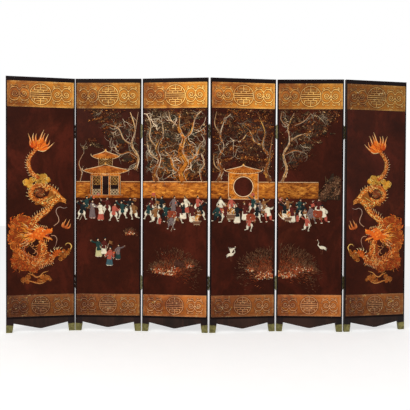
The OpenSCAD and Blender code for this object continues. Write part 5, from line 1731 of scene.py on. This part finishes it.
# People of each leaf, from the back of the crowd to its front: x, z, height, side that they face, and
# for a few the paints of their coat and their skirt or trousers
PEOPLE = {
    2: [
        (84, 858, 112, 1), (232, 850, 114, -1), (386, 862, 108, 1), (208, 560, 130, 1), (44, 812, 120, 1),
        (124, 820, 124, 1), (186, 806, 124, -1), (280, 800, 122, 1), (344, 818, 120, -1), (430, 824, 116, -1),
        (170, 540, 148, 1, rgb("223c38"), rgb("cec692")), (250, 476, 150, -1, CORAL, rgb("426068")),
        (312, 520, 104, -1, LILAC, TEAL),
    ],
    3: [
        (60, 866, 110, 1), (140, 860, 112, -1), (228, 866, 108, 1), (322, 862, 112, -1), (404, 868, 108, 1),
        (34, 812, 120, 1), (96, 796, 124, 1), (176, 808, 120, -1), (262, 790, 126, 1), (300, 818, 118, -1),
        (366, 796, 122, 1), (440, 812, 118, -1), (210, 742, 100, 1),
    ],
    4: [
        (76, 860, 110, 1), (156, 866, 108, -1), (310, 866, 112, 1), (392, 862, 108, -1), (40, 806, 122, 1),
        (110, 798, 124, -1), (196, 790, 126, -1), (252, 812, 120, 1), (340, 796, 124, 1), (360, 836, 112, -1),
        (430, 808, 120, -1), (284, 742, 100, 1),
    ],
    5: [
        (78, 864, 110, -1), (160, 858, 112, 1), (300, 850, 110, -1), (38, 816, 120, 1), (112, 796, 124, -1),
        (186, 812, 120, 1), (252, 786, 124, -1), (340, 800, 122, -1), (216, 744, 100, 1),
    ],
}


# ---- Flowers and birds ---------------------------------------------------------------------

BLOOMS = palette("e2ceb2 cc7444 be4e28 e6b27a")
STEM = palette("72301a 924022 b2542c d47e4c")
SEDGE = palette("5c3c2a 744e36 8a6246 aa8666")


def spray(pen, foliage, x, z, reach, angle):
    """A clump of fine grass, reddish at its foot and grey green at its tips, with small blossoms."""
    chance = pen.chance
    for k in range(int(reach * 7)):
        heading = radians(angle + chance.normal(0, 34))
        share = chance.beta(1.6, 1.5)
        far = reach * share * 1.12
        colours = STEM if share < chance.uniform(0.3, 0.85) else SEDGE
        foliage.leaf(x + cos(heading) * far * 1.15, z + sin(heading) * far,
            degrees(heading) + chance.normal(0, 16), chance.uniform(1.4, 3.2), colours, thin=0.3)
    for k in range(int(22 + reach * 0.18)):
        heading, far = radians(chance.uniform(0, 180)), min(reach, 74) * chance.uniform(0, 0.7)
        bloom = BLOOMS[chance.integers(len(BLOOMS))]
        foliage.blossom(x + cos(heading) * far * 1.2, z + sin(heading) * far * 0.8, 0.5,
            chance.uniform(0.45, 1.15), bloom)
    for k in range(5):
        heading = radians(angle + (k - 2) * 24 + chance.uniform(-8, 8))
        tip = (x + cos(heading) * reach * 0.8, z + sin(heading) * reach * 0.7)
        if foliage.inside(*tip, margin=8):
            pen.line([(x, z), ((x + tip[0]) / 2 + chance.uniform(-6, 6), (z + tip[1]) / 2 + 6), tip],
                [1.3, 1.1, 0.5], [STEM[2], SEDGE[2]], 1.1)


def crane(pen, wings=False):
    """A wading crane about 130 mm tall, with a white body and dark tail."""
    pen.line([(-2, 0), (-4, -24), (-1, -46)], [1.6, 1.3, 1.2], rgb("784632"), 1.4)
    pen.line([(8, -2), (10, -26), (6, -48)], [1.6, 1.3, 1.2], rgb("784632"), 1.4)
    for foot in (-1, 6):
        pen.line([(foot - 4, -48), (foot + 7, -48)], 1.1, rgb("784632"), 1.2)
    pen.swell([(-30, 2), (-16, -8), (6, -10), (22, 0), (24, 12), (8, 18), (-14, 14)], IVORY, 2.2, 5)
    for k in range(6):
        pen.line([(-8 - k * 2, 10 - k * 4), (-26 - k, 4 - k * 4), (-40 + k * 2, -6 - k * 4)], [3, 2.6, 0.6],
            [IVORY, HAIR] if k > 2 else [IVORY, LILAC], 2.3)
    pen.stroke([(18, 8), (34, 24), (28, 44), (36, 62)], [5.5, 3.6, 2.6, 2.6], [IVORY, IVORY, rgb("463c3c")],
        2.4)
    pen.dome(37, 65, 4.2, IVORY, 2.6)
    pen.dome(37, 69, 2.6, rgb("c43c28"), 2.7)
    pen.line([(40, 65), (56, 62)], [1.6, 0.5], OCHRE, 2.2)
    if wings:
        for k in range(8):
            pen.line([(2, 12), (-6 + k * 5, 40 + k * 2), (-20 + k * 9, 66 - k * 2)], [3, 3.6, 0.8],
                [IVORY, IVORY, LILAC], 2.2)


# Clumps of grass and flowers: x, z, reach, heading
SPRAYS = {
    2: [(400, 700, 46, 90)],
    3: [(150, 420, 92, 104), (236, 436, 70, 60), (336, 470, 56, 70), (200, 410, 190, 48), (110, 430, 70, 90)],
    4: [
        (380, 380, 96, 100), (440, 420, 60, 110), (300, 440, 50, 90), (456, 390, 210, 118),
        (400, 400, 190, 96),
    ],
    5: [(66, 390, 88, 80), (150, 430, 84, 70), (230, 440, 56, 50), (14, 400, 230, 62), (90, 400, 190, 56)],
}


# Where the garden wall runs on each leaf, and the height of its foot
WALLS = {2: [(6, 108), (332, 478)], 3: [(6, 478)], 4: [(6, 136), (344, 478)], 5: [(6, 300)]}
WALL_FOOT = 968
# Rocks: x, z, width, height and their two paints
ROCKS = {
    3: [(272, 470, 84, 60, rgb("42261e"), rgb("604230"))],
    5: [(392, 962, 130, 190, rgb("36281e"), rgb("705c42")), (326, 950, 70, 84, rgb("36281e"), rgb("705c42"))],
}


# ---- Brasswork -----------------------------------------------------------------------------

NAIL_HEIGHTS = (38, 14)


def nail_shape():
    return small_shape(lambda pen: pen.dome(0, 0, 2.1, WHITE, 1.0))


def screw_head(pen):
    """A round head with a flat on each side of its slot."""
    rim = [(cos(a) * 2.6, sin(a) * 2.6) for a in np.linspace(0, 2 * pi, 12, endpoint=False)]
    pen.blob(rim, WHITE, 0.25, 0.3)
    for side in (-1, 1):
        flat = [(-2.2, side * 0.35), (2.2, side * 0.35), (1.6, side * 1.5), (-1.6, side * 1.5)]
        pen.blob(flat, WHITE, 0.42, 0.2)


def cap_beads(leaf, finish):
    """A raised bead under the top edge of each foot cap, on the front and the back."""
    beads = Relief(leaf)
    caps = storeys(leaf, "foot_caps")[0]
    for back in (False, True):
        beads.back = back
        pen = Pen(beads, lift=0.5)
        for side, edge in ((1, caps[0]), (-1, caps[1])):
            part = pen.moved(edge, 0, side=side)
            for height, half in ((51.5, 0.9), (48.6, 0.5)):
                part.stroke([(0.2, height), (46.5, height - 4.8)], half, WHITE, 0.5, step=30)
    return beads.piece("cap_beads", finish, "brass")


# ---- Operators -----------------------------------------------------------------------------


def dress(finish, *names):
    """Gives nodes of the frame their finish."""
    for name in names:
        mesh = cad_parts[name].data
        mesh.materials.clear()
        mesh.materials.append(finish)


def picture_paint():
    """The paint that all pieces of the garden picture share."""
    return bpy.data.materials.get("picture_paint") or painted_relief("picture_paint")


def picture_pens(context, step):
    """Each leaf between the dragons with its number and a pen; the step gives each trade its own seeds."""
    for number, leaf in leaves.items():
        if 1 < number < LEAVES:
            yield number, leaf, Pen(Relief(leaf), seed=context.scene.screen_picture.seed + step * number)


def set_relief(leaf, *pieces):
    """Hides a leaf's relief from the model, once for each finer piece made in its place."""
    for piece in pieces:
        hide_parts(f"{leaf.body}_relief")


class LACQUER_OT_boards(bpy.types.Operator):
    """Polish the boards, stiles and rails"""

    bl_idname = "lacquer_screen.boards"
    bl_label = "Lacquer Boards"

    def execute(self, context):
        settings = context.scene.screen_boards
        black = plain_lacquer("edge_lacquer", rgb("140c0c"), rgb("281614"))
        back = plain_lacquer("back_lacquer", rgb("160d0c"), rgb("2e1916"))
        rail = plain_lacquer("rail_lacquer", rgb("1e120e"), rgb("36211a"), wood_above=0.0985)
        finishes = {"stiles": black, "back_board": back, "rails": rail, "core_planks": core_wood()}
        for leaf in leaves.values():
            dress(board_lacquer(leaf, settings), f"{leaf.body}_front_board")
            for part, finish in finishes.items():
                dress(finish, f"{leaf.body}_{part}")
        return {"FINISHED"}


class LACQUER_OT_gilt_bands(bpy.types.Operator):
    """Set the gilt bands with their medallions and scrolls"""

    bl_idname = "lacquer_screen.gilt_bands"
    bl_label = "Gilt Bands"

    def execute(self, context):
        settings = context.scene.screen_gilt
        for leaf in leaves.values():
            bands = Relief(leaf)
            for extent in storeys(leaf, "gilt_bands"):
                gilt_band(Pen(bands), extent, settings)
            piece = bands.piece("gilt_ornament", band_gilding(leaf, settings), "gilt")
            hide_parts(f"{leaf.body}_gilt_bands")
        return {"FINISHED"}


class LACQUER_OT_dragons(bpy.types.Operator):
    """Set a dragon on each end leaf"""

    bl_idname = "lacquer_screen.dragons"
    bl_label = "Dragons"

    def execute(self, context):
        settings = context.scene.screen_picture
        finish = painted_relief("dragon_paint")
        for leaf, start, side in ((leaves[1], 0, 1), (leaves[LEAVES], leaves[LEAVES].width, -1)):
            relief, scales = Relief(leaf, 0.3, DRAGON_HEAT), Scatter(leaf)
            dragon(Pen(relief, seed=settings.seed).moved(start, side=side), scales)
            body = relief.piece("dragon", finish)
            skin = set_copies(scales, scale_shape(), "dragon_scales", finish, size=settings.scale_size)
            set_relief(leaf, body, skin)
        return {"FINISHED"}


class LACQUER_OT_trees(bpy.types.Operator):
    """Grow the garden trees over the middle leaves"""

    bl_idname = "lacquer_screen.trees"
    bl_label = "Trees"

    def execute(self, context):
        finish, size = picture_paint(), context.scene.screen_picture.leaf_size
        for number, leaf, pen in picture_pens(context, 1):
            pen.relief.gilding = 0.6 if number == 3 else 0.2
            foliage = Foliage(pen)
            trees(pen, foliage, number)
            wood = pen.relief.piece("trees", finish)
            set_relief(leaf, wood, set_copies(foliage.leaves, leaf_shape(), "tree_leaves", finish, size=size))
        return {"FINISHED"}


class LACQUER_OT_buildings(bpy.types.Operator):
    """Set the garden wall, the pavilion, the moon gate and the rocks"""

    bl_idname = "lacquer_screen.buildings"
    bl_label = "Buildings"

    def execute(self, context):
        finish = picture_paint()
        for number, leaf, pen in picture_pens(context, 10):
            pen.relief.gilding, pen.relief.heat = 1, WALL_HEAT.get(number)
            for x0, x1 in WALLS[number]:
                wall(pen, x0, min(x1, leaf.width - 6), WALL_FOOT)
            if number == 2:
                pavilion(pen.moved(95, WALL_FOOT))
            elif number == 4:
                moon_gate(pen.moved(240, WALL_FOOT - 8))
            for x, z, wide, tall, *paints in ROCKS.get(number, ()):
                rock(pen.moved(x, z), wide, tall, *paints)
            set_relief(leaf, pen.relief.piece("buildings", finish))
        return {"FINISHED"}


class LACQUER_OT_figures(bpy.types.Operator):
    """Set the figures, their things and the cranes"""

    bl_idname = "lacquer_screen.figures"
    bl_label = "Figures"

    def execute(self, context):
        finish = picture_paint()
        for number, leaf, pen in picture_pens(context, 20):
            figures_on(pen, number)
            if number == 4:
                crane(pen.moved(150, 560, 0.9), wings=True)
            if number == 5:
                crane(pen.moved(330, 610, 0.9, -1))
            set_relief(leaf, pen.relief.piece("figures", finish))
        return {"FINISHED"}


class LACQUER_OT_flowers(bpy.types.Operator):
    """Set the flowering plants in the foreground"""

    bl_idname = "lacquer_screen.flowers"
    bl_label = "Flowers"

    def execute(self, context):
        finish = picture_paint()
        for number, leaf, pen in picture_pens(context, 30):
            foliage = Foliage(pen)
            for x, z, reach, angle in SPRAYS[number]:
                spray(pen, foliage, x, z, reach, angle)
            if number == 5:
                for x, z in ((430, 1010), (370, 1040), (430, 1090), (330, 990)):
                    foliage.drift(x, z, 46, 34, 60, SEDGE, 200, 1.3, 2.0)
            plants = pen.relief.piece("plants", finish)
            blades = set_copies(foliage.leaves, leaf_shape(), "plant_leaves", finish)
            set_relief(leaf, plants, blades, set_copies(foliage.petals, petal_shape(), "blossoms", finish))
        return {"FINISHED"}


class LACQUER_OT_brasswork(bpy.types.Operator):
    """Finish the foot caps and hinges and drive their nails and screws"""

    bl_idname = "lacquer_screen.brasswork"
    bl_label = "Brasswork"

    def execute(self, context):
        brass = old_brass("olive_brass", rgb("88804c"), rgb("5c562c"), rgb("3a3c20"), 0.34)
        bronze = old_brass("green_bronze", rgb("847a54"), rgb("5c5c3e"), rgb("343e30"), 0.4)
        dress(bronze, *(f"joint_{joint}_hinge_pins" for joint in range(1, LEAVES)))
        for leaf in leaves.values():
            dress(brass, f"{leaf.body}_foot_caps")
            dress(bronze, f"{leaf.body}_hinge_plates")
            cap_beads(leaf, brass)
            nails, screws = Scatter(leaf), Scatter(leaf)
            caps = storeys(leaf, "foot_caps")[0]
            for height in NAIL_HEIGHTS:
                for x in (caps[0] + 8, caps[0] + 32, caps[1] - 8, caps[1] - 32):
                    nails.put(x, height, 0.5, 0, 1, WHITE)
                    nails.put(x, height, -leaf.depth - 0.5, 0, 1, WHITE, facing=180)
            set_copies(nails, nail_shape(), "cap_nails", brass)
            for _, _, z0, z1 in storeys(leaf, "hinge_plates"):
                for edge, facing in ((leaf.width, 90), (0, -90)):
                    joint = leaf.number if facing > 0 else leaf.number - 1
                    if not 0 < joint < LEAVES:
                        continue
                    out = -leaf.depth + 8 if joint % 2 else -8
                    for share in (1 / 6, 1 / 2, 5 / 6):
                        screws.put(edge, z0 + (z1 - z0) * share, out, 35 * share, 1, WHITE, facing=facing)
            set_copies(screws, small_shape(screw_head), "hinge_screws", bronze)
        return {"FINISHED"}


class LACQUER_OT_stage(bpy.types.Operator):
    """Set the floor, the light and the camera"""

    bl_idname = "lacquer_screen.stage"
    bl_label = "Stage"

    def execute(self, context):
        settings = context.scene.screen_stage
        scene = context.scene
        scene.view_settings.view_transform = "Standard"

        half = 14
        mesh = bpy.data.meshes.new("floor")
        corners = [(x, y, 0) for x, y in box(-half, half, -half, half)]
        mesh.from_pydata(corners, [], [(0, 1, 2, 3)])
        floor = bpy.data.objects.new("floor", mesh)
        scene.collection.objects.link(floor)
        finish = Finish("pale_floor")
        grain = finish.mix(finish.noise(9, 4, 0.5), rgb("e0dfdc"), rgb("e8e7e5"))
        matt = finish.node("ShaderNodeBsdfDiffuse", {}, {"Color": grain}).outputs[0]
        glow = finish.node("ShaderNodeEmission", {}, {"Color": WHITE, "Strength": 0.42}).outputs[0]
        both = finish.node("ShaderNodeAddShader", {}, {0: matt, 1: glow}).outputs[0]
        mixed = finish.node("ShaderNodeMixShader", {}, {0: finish.seen(), 1: matt, 2: both}).outputs[0]
        finish.node("ShaderNodeOutputMaterial", {}, {"Surface": mixed})
        mesh.materials.append(finish.material)

        scene.world = bpy.data.worlds.new("studio")
        scene.world.use_nodes = True
        tree = Tree(scene.world.node_tree)
        light = {"Color": rgb("fafafc"), "Strength": settings.ambient}
        plain = tree.node("ShaderNodeBackground", {}, light).outputs[0]
        white = tree.node("ShaderNodeBackground", {}, {"Color": WHITE}).outputs[0]
        mixed = tree.node("ShaderNodeMixShader", {}, {0: tree.seen(), 1: plain, 2: white}).outputs[0]
        tree.node("ShaderNodeOutputWorld", {}, {"Surface": mixed})

        for name, place, size, power, colour in (
            ("key_lamp", (-2.6, -4.2, 3.6), 2.6, settings.key, (1, 0.97, 0.93)),
            ("fill_lamp", (3.4, -4.6, 2.4), 3.2, settings.key * 0.45, (0.94, 0.97, 1)),
        ):
            light = bpy.data.lights.new(name, "AREA")
            light.size, light.energy, light.color = size, power, colour
            lamp = bpy.data.objects.new(name, light)
            lamp.location = place
            lamp.rotation_euler = (Vector((0, 0, 0.9)) - Vector(place)).to_track_quat("-Z", "Y").to_euler()
            scene.collection.objects.link(lamp)

        camera = bpy.data.objects.new("camera", bpy.data.cameras.new("camera"))
        camera.data.lens = settings.lens
        camera.location = settings.eye
        camera.rotation_euler = (radians(90 - 0.96), radians(-0.25), radians(-3.38))
        scene.collection.objects.link(camera)
        scene.camera = camera
        return {"FINISHED"}


OPERATORS = [
    LACQUER_OT_boards,
    LACQUER_OT_gilt_bands,
    LACQUER_OT_dragons,
    LACQUER_OT_buildings,
    LACQUER_OT_trees,
    LACQUER_OT_figures,
    LACQUER_OT_flowers,
    LACQUER_OT_brasswork,
    LACQUER_OT_stage,
]
GROUPS = {
    "screen_boards": BoardSettings,
    "screen_gilt": GiltSettings,
    "screen_picture": PictureSettings,
    "screen_stage": StageSettings,
}


class LACQUER_PT_panel(bpy.types.Panel):
    bl_label = "Lacquer Screen"
    bl_idname = "LACQUER_PT_panel"
    bl_space_type = "VIEW_3D"
    bl_region_type = "UI"
    bl_category = "Lacquer Screen"

    def draw(self, context):
        for group, kind in GROUPS.items():
            rows = self.layout.box()
            for name in kind.__annotations__:
                rows.prop(getattr(context.scene, group), name)
        for operator in OPERATORS:
            self.layout.operator(operator.bl_idname)


CLASSES = [*GROUPS.values(), *OPERATORS, LACQUER_PT_panel]


def register():
    for cls in CLASSES:
        bpy.utils.register_class(cls)
    for group, kind in GROUPS.items():
        setattr(bpy.types.Scene, group, PointerProperty(type=kind))


def unregister():
    for group in GROUPS:
        delattr(bpy.types.Scene, group)
    for cls in reversed(CLASSES):
        bpy.utils.unregister_class(cls)


def main():
    register()
    for operator in OPERATORS:
        family, name = operator.bl_idname.split(".")
        getattr(getattr(bpy.ops, family), name)()


if __name__ == "__main__":
    main()
